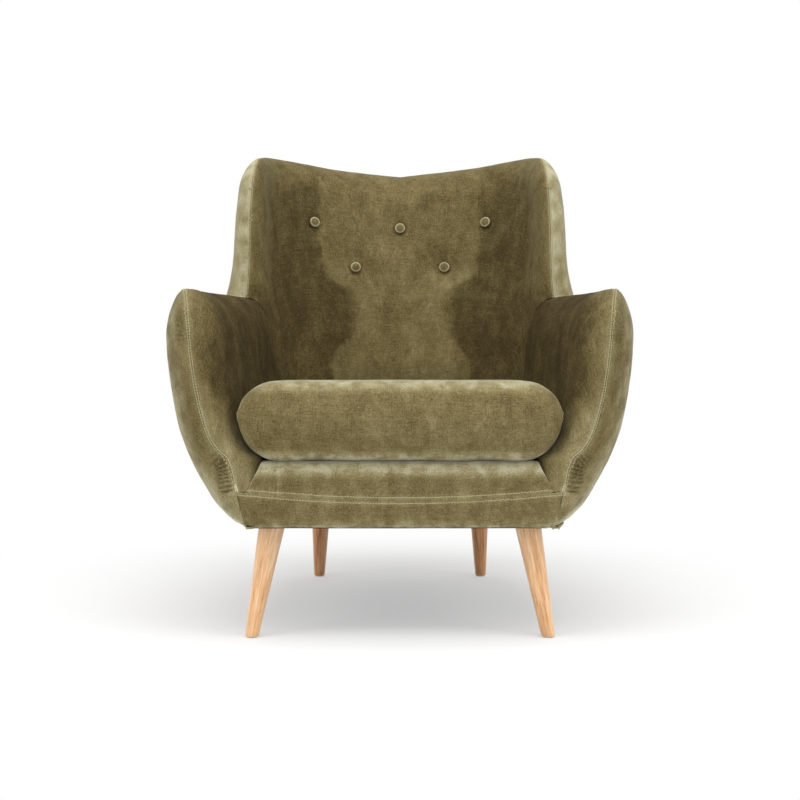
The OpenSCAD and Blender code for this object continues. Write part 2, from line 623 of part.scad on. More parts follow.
// Sinuous springs between the front and rear rails, hooked into clips
spring_z = foam_base - 2 * clear - hessian_t - wire;
spring_n = 18;
spring_pitch = (wing_w - 52) / 3;
SPRING_XS = [for (k = [-1.5:1.5]) k * spring_pitch];
spring_w = 22;
spring_y0 = rail_front_y + rail_t / 2;
spring_y1 = rear_rail_y + rail_t / 2;
spring_path = [for (k = [0:spring_n]) let (y = spring_y0 + (spring_y1 - spring_y0) * k / spring_n,
    s = (k % 2) * 2 - 1, reach = k == 0 || k == spring_n ? 1 : 9) each [
        [s * spring_w / 2, y - reach], [s * spring_w / 2, y + reach]]];
function heading(k) = let (n = len(spring_path) - 1, d = spring_path[min(n, k + 1)] - spring_path[max(0, k - 1)])
    d / norm(d);
function spring_side(shift) = [for (k = [0:len(spring_path) - 1])
    let (h = heading(k)) spring_path[k] + [h[1], -h[0]] * shift];
module seat_springs() {
    near = spring_side(-wire / 2);
    far = spring_side(wire / 2);
    color(steel) for (x = SPRING_XS) translate([x, 0, spring_z]) linear_extrude(wire)
        polygon(concat(near, [for (i = [len(far) - 1:-1:0]) far[i]]));
}

clip_w = 30;
module spring_clips() {
    t = (spring_z - rail_top) - 0.2;
    color(steel) for (x = SPRING_XS, y = [spring_y0, spring_y1])
        box(x - clip_w / 2, x + clip_w / 2, y - 8, y + 8, rail_top, rail_top + t);
}

// Seat cushion: stations round its profile are [place, value]; 0 rear corner, 1 top or base, 2 nose
seat_z = deck_h + clear;
ridge_z = seat_z + ridge_h;
end_h = 10;
rear_flat_y = back_y - 262;
STATIONS = [[0, 0.45], [0, 0.8], [0, 0.97], [1, 0], [1, 0.25], [1, 0.5], [1, 0.75], [1, 1],
    [2, 0.97], [2, 0.88], [2, 0.7], [2, 0.45], [2, 0.15]];
VS = [-1, -0.985, -0.94, -0.87, -0.77, -0.63, -0.42, -0.2, 0, 0.2, 0.42, 0.63, 0.77, 0.87, 0.94, 0.985, 1];
corner_x = wing_w - 66;
corner_slope = 1.5;
low_z = seat_z + 26;
function cushion_wall(y, z) =
    let (e = edge_y(z))
    y < e ? in_front_x(z) + (in_back_x(z) - in_front_x(z))
        * ramp(max(0, y - front_y) / (e - front_y))
    : in_back_x(z) * (1 - min(1, (y - e) / (rear_in_y(min(z, low_z)) - e))^in_power(z))^(1 / in_power(z));
function cushion_rear(x) =
    let (z = low_z, e = edge_y(z), n = in_power(z))
    min(rear_flat_y, e + (rear_in_y(z) - e) * (1 - min(1, x / in_back_x(z))^n)^(1 / n) - cushion_gap);
corner_rear = cushion_rear(corner_x);
function end_fall(v, run, z) = let (t = max(0, (abs(v) * (inner_w - 33) - (inner_w - 33 - run)) / run))
    end_h / z + (1 - end_h / z) * (1 - min(1, t)^2)^(1 / 2);
function cushion_x(v, y, z, d) =
    let (ahead = min(y, corner_rear), beside = cushion_wall(ahead, ridge_z) - cushion_gap,
        wide = min(beside, corner_x + corner_slope * (corner_rear - ahead)))
    sign(v) * (min(abs(v) * wide, cushion_wall(ahead, min(z, ridge_z)) - cushion_gap) - abs(v) * d);
function profile(v, s, top, d) =
    let (full = top ? cushion_h - ridge_h : ridge_h, fall = end_fall(v, top ? 66 : 76, full), h = full * fall - d,
        yf = -depth / 2 + 22 * abs(v)^6 + d, yr = cushion_rear(abs(v) * corner_x) - d,
        rear_h = h - (top ? cushion_pitch * fall : 0), p = 2.6, arc = 1 - (1 - s[1]^p)^(1 / p),
        y = s[0] == 0 ? yr - 16 * arc : s[0] == 2 ? yf + nose * arc : yr - 16 + (yf + nose - yr + 16) * s[1],
        high = s[0] == 0 ? rear_h * s[1] : s[0] == 2 ? h * s[1] : rear_h + (h - rear_h) * (1 - (1 - s[1])^2),
        z = ridge_z + (top ? high : -high))
    [cushion_x(v, y, z, d), y, z];
function ring(v, d) = concat([for (s = STATIONS) profile(v, s, true, d)],
    [for (i = [len(STATIONS) - 1:-1:0]) profile(v, STATIONS[i], false, d)]);

module cushion_cover() {
    color(velvet) sheet([for (v = VS) ring(v, 0)], [for (v = VS) ring(v, cloth)]);
}

module cushion_end() {
    inset = cloth + clear;
    function strip(shift) = [for (i = [0:len(STATIONS) - 2])
        let (p = profile(-1, STATIONS[i], true, inset), q = profile(-1, STATIONS[i], false, inset))
        [for (j = [0, 0.5, 1]) let (m = p + (q - p) * j) [m[0] - clear + shift, m[1], m[2]]]];
    color(velvet) sheet(strip(-cloth), strip(0));
}

band_gap = 5;
module cushion_back_band() {
    function strip(top, d) = [for (v = VS)
        let (p = profile(v, [0, 0.4], top, 0), h = (p[2] - ridge_z) / 2, low = sign(h) * min(band_gap, abs(h)))
        let (x = sign(v) * min(abs(p[0]), corner_x - cloth))
        [[x, p[1] - d, p[2]], [x, p[1] - d, ridge_z + low]]];
    color(velvet) sheet(strip(true, cloth), strip(true, 0));
    color(velvet) sheet(strip(false, 0), strip(false, cloth));
}

foam_rear_inset = 5;
foam_slack = 0.4;
module cushion_foam() {
    rings = [for (v = VS) [for (p = ring(v, cloth + clear + foam_slack))
        [p[0], min(p[1], rear_flat_y - foam_rear_inset), p[2]]]];
    m = len(rings[0]);
    n = len(rings);
    points = concat([for (r = rings) each r]);
    wrap = [for (i = [0:n - 2], j = [0:m - 1]) let (k = (j + 1) % m) each [
        [i * m + j, (i + 1) * m + j, i * m + k], [i * m + k, (i + 1) * m + j, (i + 1) * m + k]]];
    start = [for (j = [1:m - 2]) [0, j, j + 1]];
    end = [for (j = [1:m - 2]) [(n - 1) * m, (n - 1) * m + j + 1, (n - 1) * m + j]];
    color(foam_colour) polyhedron(points, concat(wrap, start, end));
}

// Zip across the rear of the cushion
tape_w = 12;
teeth_w = 5.6;
tape_y = rear_flat_y - cloth - 1.9;
module zip_tapes() {
    color(black_cloth) for (z = [ridge_z + teeth_w / 2, ridge_z - teeth_w / 2 - tape_w])
        box(-zip_l / 2, zip_l / 2, tape_y, tape_y + 0.8, z, z + tape_w);
}

module zip_teeth() {
    color(steel) box(-zip_l / 2, zip_l / 2, tape_y - 0.4, tape_y + 2.6, ridge_z - teeth_w / 2, ridge_z + teeth_w / 2);
}

slider_l = 10;
slider_x = -zip_l / 2 + 15;
pin_y = tape_y + 6.4;
module zip_slider() {
    color(steel) translate([slider_x, 0, ridge_z]) {
        difference() {
            box(-slider_l / 2, slider_l / 2, tape_y + 1.3, tape_y + 4.6, -4.4, 4.4);
            box(-slider_l, slider_l, tape_y, tape_y + 2.9, -teeth_w / 2 - 0.3, teeth_w / 2 + 0.3);
        }
        for (s = [-1, 1]) translate([s * 2.9 - 0.6, 0, 0]) box(0, 1.2, tape_y + 4.6, pin_y + 1.2, -1.3, 1.3);
        translate([-2.9, pin_y, 0]) rotate([0, 90, 0]) cylinder(d = 1.2, h = 5.8, $fn = 24);
    }
}

module zip_pull() {
    color(steel) translate([slider_x, pin_y, ridge_z]) difference() {
        union() {
            translate([-2, -0.6, -14]) cube([4, 1.2, 12.6]);
            translate([-2, 0, 0]) rotate([0, 90, 0]) cylinder(d = 3.4, h = 4, $fn = 24);
        }
        translate([-5, 0, 0]) rotate([0, 90, 0]) cylinder(d = 1.8, h = 10, $fn = 24);
    }
}

module right() {
    mirror([1, 0, 0]) children();
}

inside_back_cover();
inside_arm_cover();  // inside_arm_cover_left
right() inside_arm_cover();  // inside_arm_cover_right
outside_arm_cover();  // outside_arm_cover_left
right() outside_arm_cover();  // outside_arm_cover_right
outside_back_cover();
front_band_upper();
front_band_lower();
deck_cover();
dust_cover();
back_foam();
arm_foam();  // arm_foam_left
right() arm_foam();  // arm_foam_right
front_band_pad();
deck_foam();
spring_hessian();
back_buttons();
button_plates();
front_rail();
rear_rail();
side_rail();  // side_rail_left
right() side_rail();  // side_rail_right
rear_corner_rail();  // rear_corner_rail_left
right() rear_corner_rail();  // rear_corner_rail_right
leg_blocks();
arm_front_post();  // arm_front_post_left
right() arm_front_post();  // arm_front_post_right
arm_rear_block();  // arm_rear_block_left
right() arm_rear_block();  // arm_rear_block_right
arm_top_rail();  // arm_top_rail_left
right() arm_top_rail();  // arm_top_rail_right
wing_board();  // wing_board_left
right() wing_board();  // wing_board_right
back_post();  // back_post_left
right() back_post();  // back_post_right
back_top_rail();
back_mid_rail();
back_low_rail();
seat_springs();
spring_clips();
back_webbing();
cushion_cover();
cushion_end();  // cushion_end_left
right() cushion_end();  // cushion_end_right
cushion_back_band();
cushion_foam();
zip_tapes();
zip_teeth();
zip_slider();
zip_pull();
right() leg(LEGS[1]);  // leg_front_left
leg(LEGS[1]);  // leg_front_right
right() leg(LEGS[3]);  // leg_rear_left
leg(LEGS[3]);  // leg_rear_right
foot_glides();
leg_bolts();
leg_plates();
plate_screws();
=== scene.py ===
import math

import bmesh
import bpy
import numpy as np
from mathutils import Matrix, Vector, noise
from mathutils.bvhtree import BVHTree


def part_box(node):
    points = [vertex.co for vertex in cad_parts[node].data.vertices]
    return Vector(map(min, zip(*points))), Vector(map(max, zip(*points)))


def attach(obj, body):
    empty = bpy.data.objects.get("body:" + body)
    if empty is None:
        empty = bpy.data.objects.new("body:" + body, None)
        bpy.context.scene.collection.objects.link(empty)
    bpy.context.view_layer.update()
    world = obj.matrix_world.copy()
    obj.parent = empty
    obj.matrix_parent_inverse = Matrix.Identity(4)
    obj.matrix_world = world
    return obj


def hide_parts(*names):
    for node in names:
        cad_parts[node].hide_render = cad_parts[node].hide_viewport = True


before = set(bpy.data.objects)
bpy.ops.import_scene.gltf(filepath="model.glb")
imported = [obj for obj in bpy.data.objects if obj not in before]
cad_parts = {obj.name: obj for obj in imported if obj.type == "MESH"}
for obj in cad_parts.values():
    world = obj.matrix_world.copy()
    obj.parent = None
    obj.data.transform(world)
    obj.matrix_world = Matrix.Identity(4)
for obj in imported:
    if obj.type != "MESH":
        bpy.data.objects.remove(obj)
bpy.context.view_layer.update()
scene = bpy.context.scene
scene.view_settings.view_transform = "Standard"


# The room: a camera square in front of the chair at a little over seat height, a plain pale floor, white all
# round it, and broad soft lamps overhead and at both sides.
CAMERA_AT = (0.0, -2.370, 0.462)
CAMERA_DOWN = 1.93      # degrees
LENS = 56.03            # mm, on a 36 mm sensor
FLOOR_HALF = 9.0
FLOOR_COLOUR = (0.93, 0.93, 0.93, 1)
FADE_FROM, FADE_TO = 0.40, 1.05     # metres from the chair's middle; the floor turns white between them
LEAST_WHITE = 0.35      # the share of plain white in the floor under the chair
DAYLIGHT = 0.62
LAMPS_AIM = (0, 0, 0.45)


def join(tree, kind, inputs=None, **settings):
    """Adds one shader node, with values or links for its sockets."""
    made = tree.nodes.new("ShaderNode" + kind)
    for key, value in settings.items():
        setattr(made, key, value)
    for key, value in (inputs or {}).items():
        if isinstance(value, bpy.types.NodeSocket):
            tree.links.new(value, made.inputs[key])
        else:
            made.inputs[key].default_value = value
    return made


def seen_itself(tree):
    """1 for the rays that see the room itself: from the camera, in a gloss or through glass."""
    rays = join(tree, "LightPath")
    seen = rays.outputs["Is Camera Ray"]
    for kind in ("Is Glossy Ray", "Is Transmission Ray"):
        seen = join(tree, "Math", {0: seen, 1: rays.outputs[kind]}, operation="MAXIMUM").outputs[0]
    return seen


def lamp(name, at, size, watts):
    data = bpy.data.lights.new(name, "AREA")
    data.shape, data.size, data.size_y = "RECTANGLE", size[0], size[1]
    data.energy = watts
    made = bpy.data.objects.new(name, data)
    made.location = at
    made.rotation_euler = (Vector(LAMPS_AIM) - Vector(at)).to_track_quat("-Z", "Y").to_euler()
    scene.collection.objects.link(made)


camera = bpy.data.objects.new("camera", bpy.data.cameras.new("camera"))
scene.collection.objects.link(camera)
camera.location = CAMERA_AT
camera.rotation_euler = (math.radians(90 - CAMERA_DOWN), 0, 0)
camera.data.lens, camera.data.sensor_width = LENS, 36
scene.camera = camera

floor_mesh = bpy.data.meshes.new("floor")
floor_mesh.from_pydata([(-FLOOR_HALF, -FLOOR_HALF, 0), (FLOOR_HALF, -FLOOR_HALF, 0),
                        (FLOOR_HALF, FLOOR_HALF, 0), (-FLOOR_HALF, FLOOR_HALF, 0)], [], [(0, 1, 2, 3)])
floor = bpy.data.objects.new("floor", floor_mesh)
scene.collection.objects.link(floor)
floor_paint = bpy.data.materials.new("floor_paint")
floor_paint.use_nodes = True
floor_shader = floor_paint.node_tree.nodes["Principled BSDF"]
floor_shader.inputs["Base Color"].default_value = FLOOR_COLOUR
floor_shader.inputs["Roughness"].default_value = 0.9
floor_shader.inputs["Specular IOR Level"].default_value = 0.1
floor_mesh.materials.append(floor_paint)
paint = floor_paint.node_tree
floor_place = join(paint, "TexCoord").outputs["Object"]
away = join(paint, "VectorMath", {0: floor_place}, operation="LENGTH").outputs["Value"]
far_off = join(paint, "MapRange", {"Value": away, "From Min": FADE_FROM, "From Max": FADE_TO},
               interpolation_type="SMOOTHSTEP").outputs[0]
share = join(paint, "Math", {0: far_off, 1: 1 - LEAST_WHITE, 2: LEAST_WHITE}, operation="MULTIPLY_ADD")
share = join(paint, "Math", {0: seen_itself(paint), 1: share.outputs[0]}, operation="MULTIPLY").outputs[0]
glow = join(paint, "Emission", {"Color": (1, 1, 1, 1), "Strength": 1.0}).outputs[0]
mixed = join(paint, "MixShader", {0: share, 1: floor_shader.outputs[0], 2: glow}).outputs[0]
paint.links.new(mixed, paint.nodes["Material Output"].inputs["Surface"])

world = bpy.data.worlds.new("white_room")
scene.world = world
world.use_nodes = True
sky = world.node_tree
sky.nodes.clear()
light = join(sky, "Background", {"Color": (1, 1, 1, 1), "Strength": DAYLIGHT})
white = join(sky, "Background", {"Color": (1, 1, 1, 1), "Strength": 1.0})
both = join(sky, "MixShader", {0: seen_itself(sky), 1: light.outputs[0], 2: white.outputs[0]})
join(sky, "OutputWorld", {"Surface": both.outputs[0]})
lamp("overhead", (0.0, -0.9, 3.0), (3.0, 2.2), 62)
for side, x in (("left", -2.6), ("right", 2.6)):
    lamp(f"{side}_side", (x, -1.6, 1.7), (1.6, 2.0), 20)


# The shell's wall: arms that run back into small wings and round the back, one bent form of beech and foam.
# A place on it is a height and a run: 0 at the arm's front, 400 at the wing's edge, 800 at the middle of the
# back. From here on sizes are in millimetres, and the same as the frame's.
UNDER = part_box("outside_back_cover")[0].z * 1000
ARM_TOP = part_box("inside_arm_cover_left")[1].z * 1000
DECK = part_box("deck_cover")[1].z * 1000
BACK_TOP = 876.0
FRONT_Y, REAR_Y = -371.0, 389.0
OUT_W, IN_W, WING_W = 402.0, 296.0, 262.0
ARM_ROUND, FRONT_ROUND, WING_ROUND, CREST_ROUND = 80.0, 70.0, 72.0, 64.0
JUNCTION = 246.3        # the height where the arms' seams meet the band's
SEAM_GAP = 0.3
EDGE_RUN, BACK_RUN = 400.0, 800.0
NOSE_IN, NOSE_RUN = 34.0, 200.0     # the arm's outer face turns in by that much over that run at its front
WIDEN_FROM = 60.0       # the run where the arm's outer face starts to widen towards the wing
SHARE_WING, SHARE_RISE = 0.42, 0.08     # where the rim's seam is in the wall at the wing, and more behind
SHARE_OVER = 200.0      # the run that each of those changes takes
ROUND_IN, ROUND_OUT = 0.88, 1.12        # how full the rim's rounding is on the inside and the outside face
FADE_UP = 60.0          # the arm's rounding dies out over that height in the wing above it


def at_level(z):
    return (z - UNDER) / (ARM_TOP - UNDER)


def level(z):
    """A height as 0 at the base, 1 at the arms' top and 2 at the back's top."""
    return np.where(z <= ARM_TOP, at_level(z), 1 + (z - ARM_TOP) / (BACK_TOP - ARM_TOP))


def ramp(t):
    k = np.clip(t, 0, 1)
    return k * k * (3 - 2 * k)


def curve(rows, x):
    """A smooth line through [place, value] pairs."""
    at, value = np.array(rows, float).T
    slope = np.gradient(value, at)
    slope[1:-1] = (value[2:] - value[:-2]) / (at[2:] - at[:-2])
    x = np.clip(x, at[0], at[-1])
    k = np.clip(np.searchsorted(at, x, side="right") - 1, 0, len(at) - 2)
    h = at[k + 1] - at[k]
    t = (x - at[k]) / h
    return ((2 * t**3 - 3 * t**2 + 1) * value[k] + (t**3 - 2 * t**2 + t) * h * slope[k]
            + (3 * t**2 - 2 * t**3) * value[k + 1] + (t**3 - t**2) * h * slope[k + 1])


# Rows of [level, millimetres], unless a comment says otherwise: how far each face stands in from its widest.
DROP_OUT_FRONT = [[0, 126], [0.015, 110], [0.05, 95], [0.1, 79], [0.176, 61], [0.29, 38], [0.42, 20],
                  [0.6, 7], [0.8, 0], [1, 3], [2, 6]]
DROP_OUT_BACK = [[0, 156], [0.015, 140], [0.05, 123], [0.1, 106], [0.176, 86], [0.29, 60], [0.42, 41],
                 [0.6, 26], [0.8, 28], [0.92, 42], [1.04, 57], [1.24, 68], [1.58, 73], [2, 86]]
DROP_IN_FRONT = [[0, 45], [at_level(JUNCTION), 46], [at_level(DECK + 4), 70], [at_level(DECK + 20), 51],
                 [at_level(DECK + 41), 38], [at_level(DECK + 79), 29], [0.6, 19], [0.8, 8], [1, 0], [2, -4]]
DROP_IN_BACK = [[0, 47], [at_level(DECK + 4), 47], [at_level(DECK + 41), 32], [at_level(DECK + 79), 26],
                [0.6, 19], [0.8, 12], [1, 5], [1.4, 0], [2, 0]]
DROP_REAR_OUT = [[0, 110], [0.015, 101], [0.05, 94], [0.29, 84], [0.8, 59], [1.41, 26], [2, -6]]
DROP_REAR_IN = [[0, 250], [0.6, 230], [0.8, 216], [1.24, 184], [2, 130]]
WING_EDGE = [[0, 0], [0.8, 12], [1.07, 30], [1.41, 42], [1.75, 66], [2, 98]]
FRONT_LEAN = [[0, 21], [0.015, 12], [0.05, 5], [0.12, 0.6], [0.2, 0], [0.5, 0], [0.85, 0], [1, 4]]
# Where the arm's seam is in its front, from 0 at the inside face to 1 at the outside one.
SHARE_FRONT = [[0, 0.1], [0.15, 0.27], [0.2, 0.38], [0.29, 0.51], [0.4, 0.59], [0.55, 0.63], [0.85, 0.65],
               [1, 0.7]]
# The crest, by its run, and how square the back's bend is.
CREST_DROP = [[400, 20], [450, 13], [530, 1], [600, 1], [700, 14], [800, 26]]
INNER_POWER = [[0, 2.4], [0.8, 2.3], [1.24, 2.6], [2, 2.9]]
OUTER_POWER = [[0, 3.4], [0.3, 3.1], [0.8, 2.7], [2, 2.9]]


def face_y(z):
    return FRONT_Y + np.maximum(0, curve(FRONT_LEAN, level(z)))


def wall_line(run, z, wide_front, wide_back, rear_y, power, nose, start, near):
    """The plan of one face of the wall, along the arm and then round the back. nose turns its front in, the
    arm widens from start, and near is 1, or less where the face keeps close to the front."""
    edge = curve(WING_EDGE, level(z))
    t = (run - EDGE_RUN) * math.pi / 2 / EDGE_RUN
    c, s = np.cos(t), np.sin(t)
    k = (np.abs(c)**power + np.abs(s)**power)**(-1 / power)
    arm_x = nose - wide_front - (wide_back - wide_front) * ramp((run - start) / (EDGE_RUN - start))
    arm_y = face_y(z) + (edge - face_y(z)) * run / EDGE_RUN * near
    back = run > EDGE_RUN
    return np.stack([np.where(back, -wide_back * c * k, arm_x),
                     np.where(back, edge + (rear_y - edge) * s * k, arm_y)], -1)


def outer_at(run, z):
    """The plan of the outside face at a height."""
    v = level(z)
    return wall_line(run, z, OUT_W - curve(DROP_OUT_FRONT, v), OUT_W - curve(DROP_OUT_BACK, v),
                     REAR_Y - curve(DROP_REAR_OUT, v), curve(OUTER_POWER, v),
                     NOSE_IN * np.maximum(0, 1 - run / NOSE_RUN)**2, WIDEN_FROM, 1)


def inner_at(run, z):
    """The plan of the inside face at a height. Low down beside the band it keeps close to the front."""
    v = level(z)
    low, near = 1 - ramp((z - JUNCTION - 4) / 80), 1 - ramp((run - FRONT_ROUND) / 60)
    return wall_line(run, z, IN_W - curve(DROP_IN_FRONT, v), WING_W - curve(DROP_IN_BACK, v),
                     REAR_Y - curve(DROP_REAR_IN, v), curve(INNER_POWER, v), 0, 0, 1 - low * near)


def crest(run):
    """The back's top edge before its corners are rounded."""
    return BACK_TOP - curve(CREST_DROP, run)


def rim_z(run):
    """The height of the wall's rim, with the arm's front and the wing's corner rounded."""
    def fall(r, t):
        return r * (1 - np.sqrt(np.maximum(0, 1 - t * t)))
    arm = ARM_TOP - fall(ARM_ROUND, np.maximum(0, 1 - run / FRONT_ROUND))
    back = crest(run) - fall(CREST_ROUND, np.maximum(0, 1 - (run - EDGE_RUN) / WING_ROUND))
    return np.where(run < EDGE_RUN, arm, back)


def skin(run, z, side, depth):
    """A point at a depth under the wall's inside face (side 1) or its outside face (side -1)."""
    run, z, depth = (np.array(a, float) for a in np.broadcast_arrays(run, z, depth))
    arm, low = run < EDGE_RUN, z <= ARM_TOP
    arm_a = np.where(arm, np.maximum(0, 1 - run / FRONT_ROUND), 0)
    arm_b = np.where(low, np.maximum(0, 1 - (ARM_TOP - z) / ARM_ROUND), 1 - ramp((z - ARM_TOP) / FADE_UP))
    back_a = np.where(arm, 0, np.maximum(0, 1 - (run - EDGE_RUN) / WING_ROUND))
    back_b = np.where(arm, 0, np.maximum(0, 1 - (crest(run) - z) / CREST_ROUND))
    arm_full = np.where(low, np.sqrt(np.maximum(0, 1 - arm_a**2 - arm_b**2)), 0)
    back_full = np.where(arm, 0, np.sqrt(np.maximum(0, 1 - back_a**2 - back_b**2)))
    r = run + depth * (arm_a + back_a * (1 - arm_full))
    h = z - depth * (arm_b * (1 - back_full) + back_b)
    i, o = inner_at(r, h), outer_at(r, h)
    u = (o - i) / np.linalg.norm(o - i, axis=-1, keepdims=True)
    front = curve(SHARE_FRONT, level(h))
    behind = SHARE_WING + SHARE_RISE * ramp((r - EDGE_RUN) / SHARE_OVER)
    share = front + (behind - front) * ramp((r - NOSE_RUN) / SHARE_OVER)
    m = i + (o - i) * share[..., None] - u * side * SEAM_GAP / 2
    s = i + u * depth[..., None] if side > 0 else o - u * depth[..., None]
    full = (1 - (1 - arm_full) * (1 - back_full))**(ROUND_IN if side > 0 else ROUND_OUT)
    p = m + (s - m) * full[..., None]
    return np.concatenate([p, h[..., None]], -1)


def panel_run(z):
    """The run of the seam between the inside arm and the inside back, which leans back towards the deck."""
    return EDGE_RUN + np.where(z > ARM_TOP, 0, 70 * ramp((ARM_TOP - z) / 110))


# The velvet: an olive cotton velvet with a short pile. It shows faint crossing threads and is mottled where
# the pile lies one way or the other. Its nap value also carries painted light and shade: paler where light
# falls or glances, darker where shade falls, and paler along the seams and stitch rows.
PILE_DEEP = (0.030, 0.020, 0.007, 1)
PILE_DARK = (0.075, 0.055, 0.020, 1)
PILE_MID = (0.170, 0.132, 0.055, 1)
PILE_LIGHT = (0.270, 0.228, 0.112, 1)
PILE_PALE = (0.440, 0.410, 0.270, 1)
ALONG, ACROSS = 70, 480     # how fine the threads' unevenness is, along each and across it, to the metre


def ramp_of(tree, value, stops):
    made = join(tree, "ValToRGB", {"Fac": value})
    line = made.color_ramp.elements
    while len(line) < len(stops):
        line.new(0.5)
    for element, (place, colour) in zip(line, stops):
        element.position, element.color = place, colour
    return made.outputs["Color"]


def sum_of(tree, *terms):
    """The sum of (socket, factor, offset) terms: each socket times its factor, plus its offset."""
    total = None
    for socket, factor, offset in terms:
        made = join(tree, "Math", {0: socket, 1: factor, 2: offset}, operation="MULTIPLY_ADD")
        total = made.outputs[0] if total is None else join(
            tree, "Math", {0: total, 1: made.outputs[0]}, operation="ADD").outputs[0]
    return total


def speckle(tree, vector, scale, stretch=(1, 1, 1), detail=2.0, rough=0.5, twist=0.0):
    moved = join(tree, "Mapping", {"Vector": vector, "Scale": [scale * s for s in stretch]})
    return join(tree, "TexNoise", {"Vector": moved.outputs[0], "Scale": 1.0, "Detail": detail,
                                   "Roughness": rough, "Distortion": twist}).outputs["Fac"]


def new_material(name, rough, specular=0.3, metal=0.0):
    made = bpy.data.materials.new(name)
    made.use_nodes = True
    shader = made.node_tree.nodes["Principled BSDF"]
    shader.inputs["Roughness"].default_value = rough
    shader.inputs["Specular IOR Level"].default_value = specular
    shader.inputs["Metallic"].default_value = metal
    return made, made.node_tree, shader


def bump(tree, shader, height, strength, distance):
    made = join(tree, "Bump", {"Height": height, "Strength": strength, "Distance": distance})
    tree.links.new(made.outputs[0], shader.inputs["Normal"])


def velvet(name, seed):
    """The velvet for pieces that carry their flat place as UV and their nap, from -1 dark to 1 pale: the
    pile's own tone with painted light and shade in it.
    """
    made, tree, shader = new_material(name, 0.95, 0.12)
    shader.inputs["Sheen Roughness"].default_value = 0.38
    shader.inputs["Sheen Tint"].default_value = (0.80, 0.82, 0.66, 1)
    place = join(tree, "TexCoord").outputs
    here = join(tree, "Mapping", {"Vector": place["Object"], "Location": (seed, seed * 0.7, 0)}).outputs[0]
    flat = place["UV"]
    nap_and_painted_light = join(tree, "Attribute", attribute_name="nap_and_painted_light").outputs["Fac"]
    # The sheen's weight follows the same nap value, so painted shade also takes sheen away.
    glow = join(tree, "Math", {0: nap_and_painted_light, 1: 0.9, 2: 0.34}, operation="MULTIPLY_ADD", use_clamp=True).outputs[0]
    tree.links.new(glow, shader.inputs["Sheen Weight"])
    weft = speckle(tree, flat, 1, (ALONG, ACROSS, 1), 2.0, 0.6)
    warp = speckle(tree, flat, 1, (ACROSS, ALONG, 1), 2.0, 0.6)
    slub = speckle(tree, flat, 1, (14, 210, 1), 1.0)
    pile = speckle(tree, here, 520, detail=2.0)
    crush = speckle(tree, here, 13, (1, 1, 0.6), 4.0, 0.62, 0.9)
    brush = speckle(tree, here, 46, (1, 1, 0.5), 3.0, 0.6, 0.5)
    uneven = ((crush, 0.34), (brush, 0.36), (weft, 0.30), (warp, 0.30), (slub, 0.12), (pile, 0.62))
    tone = sum_of(tree, (nap_and_painted_light, 0.5, 0.5), *[(pattern, much, -much / 2) for pattern, much in uneven])
    colour = ramp_of(tree, tone, [(0.0, PILE_DEEP), (0.25, PILE_DARK), (0.5, PILE_MID), (0.72, PILE_LIGHT),
                                  (1.0, PILE_PALE)])
    tree.links.new(colour, shader.inputs["Base Color"])
    relief = sum_of(tree, (weft, 0.4, 0), (warp, 0.4, 0), (pile, 0.5, 0), (brush, 0.5, 0))
    bump(tree, shader, relief, 0.55, 0.0012)
    return made


SHELL_VELVET = velvet("velvet_shell", 0.0)
CUSHION_VELVET = velvet("velvet_cushion", 3.1)


# How a velvet panel is laid over its foam: its rows and columns lie close together near the seams, where the
# cloth is drawn down into them. Lengths are in millimetres.
DENSE = np.linspace(0, 1, 321)**2
FINE_REACH, GROWTH = 9.0, 1.25      # rows are fine for that far from a seam, then each is that much wider


def spaced(total, fine, coarse, both):
    """Places along a length as shares of it, fine near its start, and near its end too where both is set."""
    def reach(length):
        steps, step = [0.0], fine
        while steps[-1] < length:
            if steps[-1] > FINE_REACH:
                step = min(coarse, step * GROWTH)
            steps.append(steps[-1] + step)
        return np.array(steps) * length / steps[-1]
    if not both:
        return reach(total) / total
    half = reach(total / 2)
    return np.concatenate([half, total - half[-2::-1]]) / total


def lay_out(place, fine=0.8, coarse=3.6, ends=(True, True)):
    """A panel's grid of points, and how far each is across and down it."""
    points = place(DENSE[:, None], DENSE[None, :])

    def along(p, axis):
        step = np.linalg.norm(np.diff(p, axis=axis), axis=-1)
        return np.concatenate([np.zeros_like(np.take(step, [0], axis)), np.cumsum(step, axis)], axis)
    across, down = along(points, 0), along(points, 1)
    wide, tall = across[-1], down[:, -1]
    fu = spaced(wide.mean(), fine, coarse, ends[0])
    fv = spaced(tall.mean(), fine, coarse, ends[1])
    u = np.interp(fu, (across / wide).mean(1), DENSE)
    v = np.empty((len(u), len(fv)))
    for k, a in enumerate(u):
        row = np.array([np.interp(a, DENSE, down[:, j]) for j in range(0, len(DENSE), 4)])
        v[k] = np.interp(fv, row / row[-1], DENSE[::4])
    spots = place(u[:, None], v)
    return spots, fu[:, None] * np.interp(v, DENSE, wide), fv * np.interp(u, DENSE, tall)[:, None]


def normals_of(points):
    n = np.cross(np.gradient(points, axis=0), np.gradient(points, axis=1))
    return n / np.maximum(np.linalg.norm(n, axis=-1, keepdims=True), 1e-9)


def lumps(points, size, seed):
    """Smooth unevenness from -1 to 1, with humps about that size."""
    shift = Vector((seed * 7.3, seed * 3.1, seed))
    drawn = [noise.noise(Vector(p) / size + shift) for p in points.reshape(-1, 3)]
    return np.array(drawn).reshape(points.shape[:-1])


def bell(d, wide):
    """A smooth hump of 1 at 0 that dies out at about twice that width."""
    return np.exp(-(d / wide)**2)


def even(line, step=1.0):
    """The same line with its points evenly spaced."""
    s = np.concatenate([[0], np.cumsum(np.linalg.norm(np.diff(line, axis=0), axis=1))])
    at = np.linspace(0, s[-1], max(2, int(s[-1] / step)))
    return np.stack([np.interp(at, s, line[:, k]) for k in range(3)], -1)


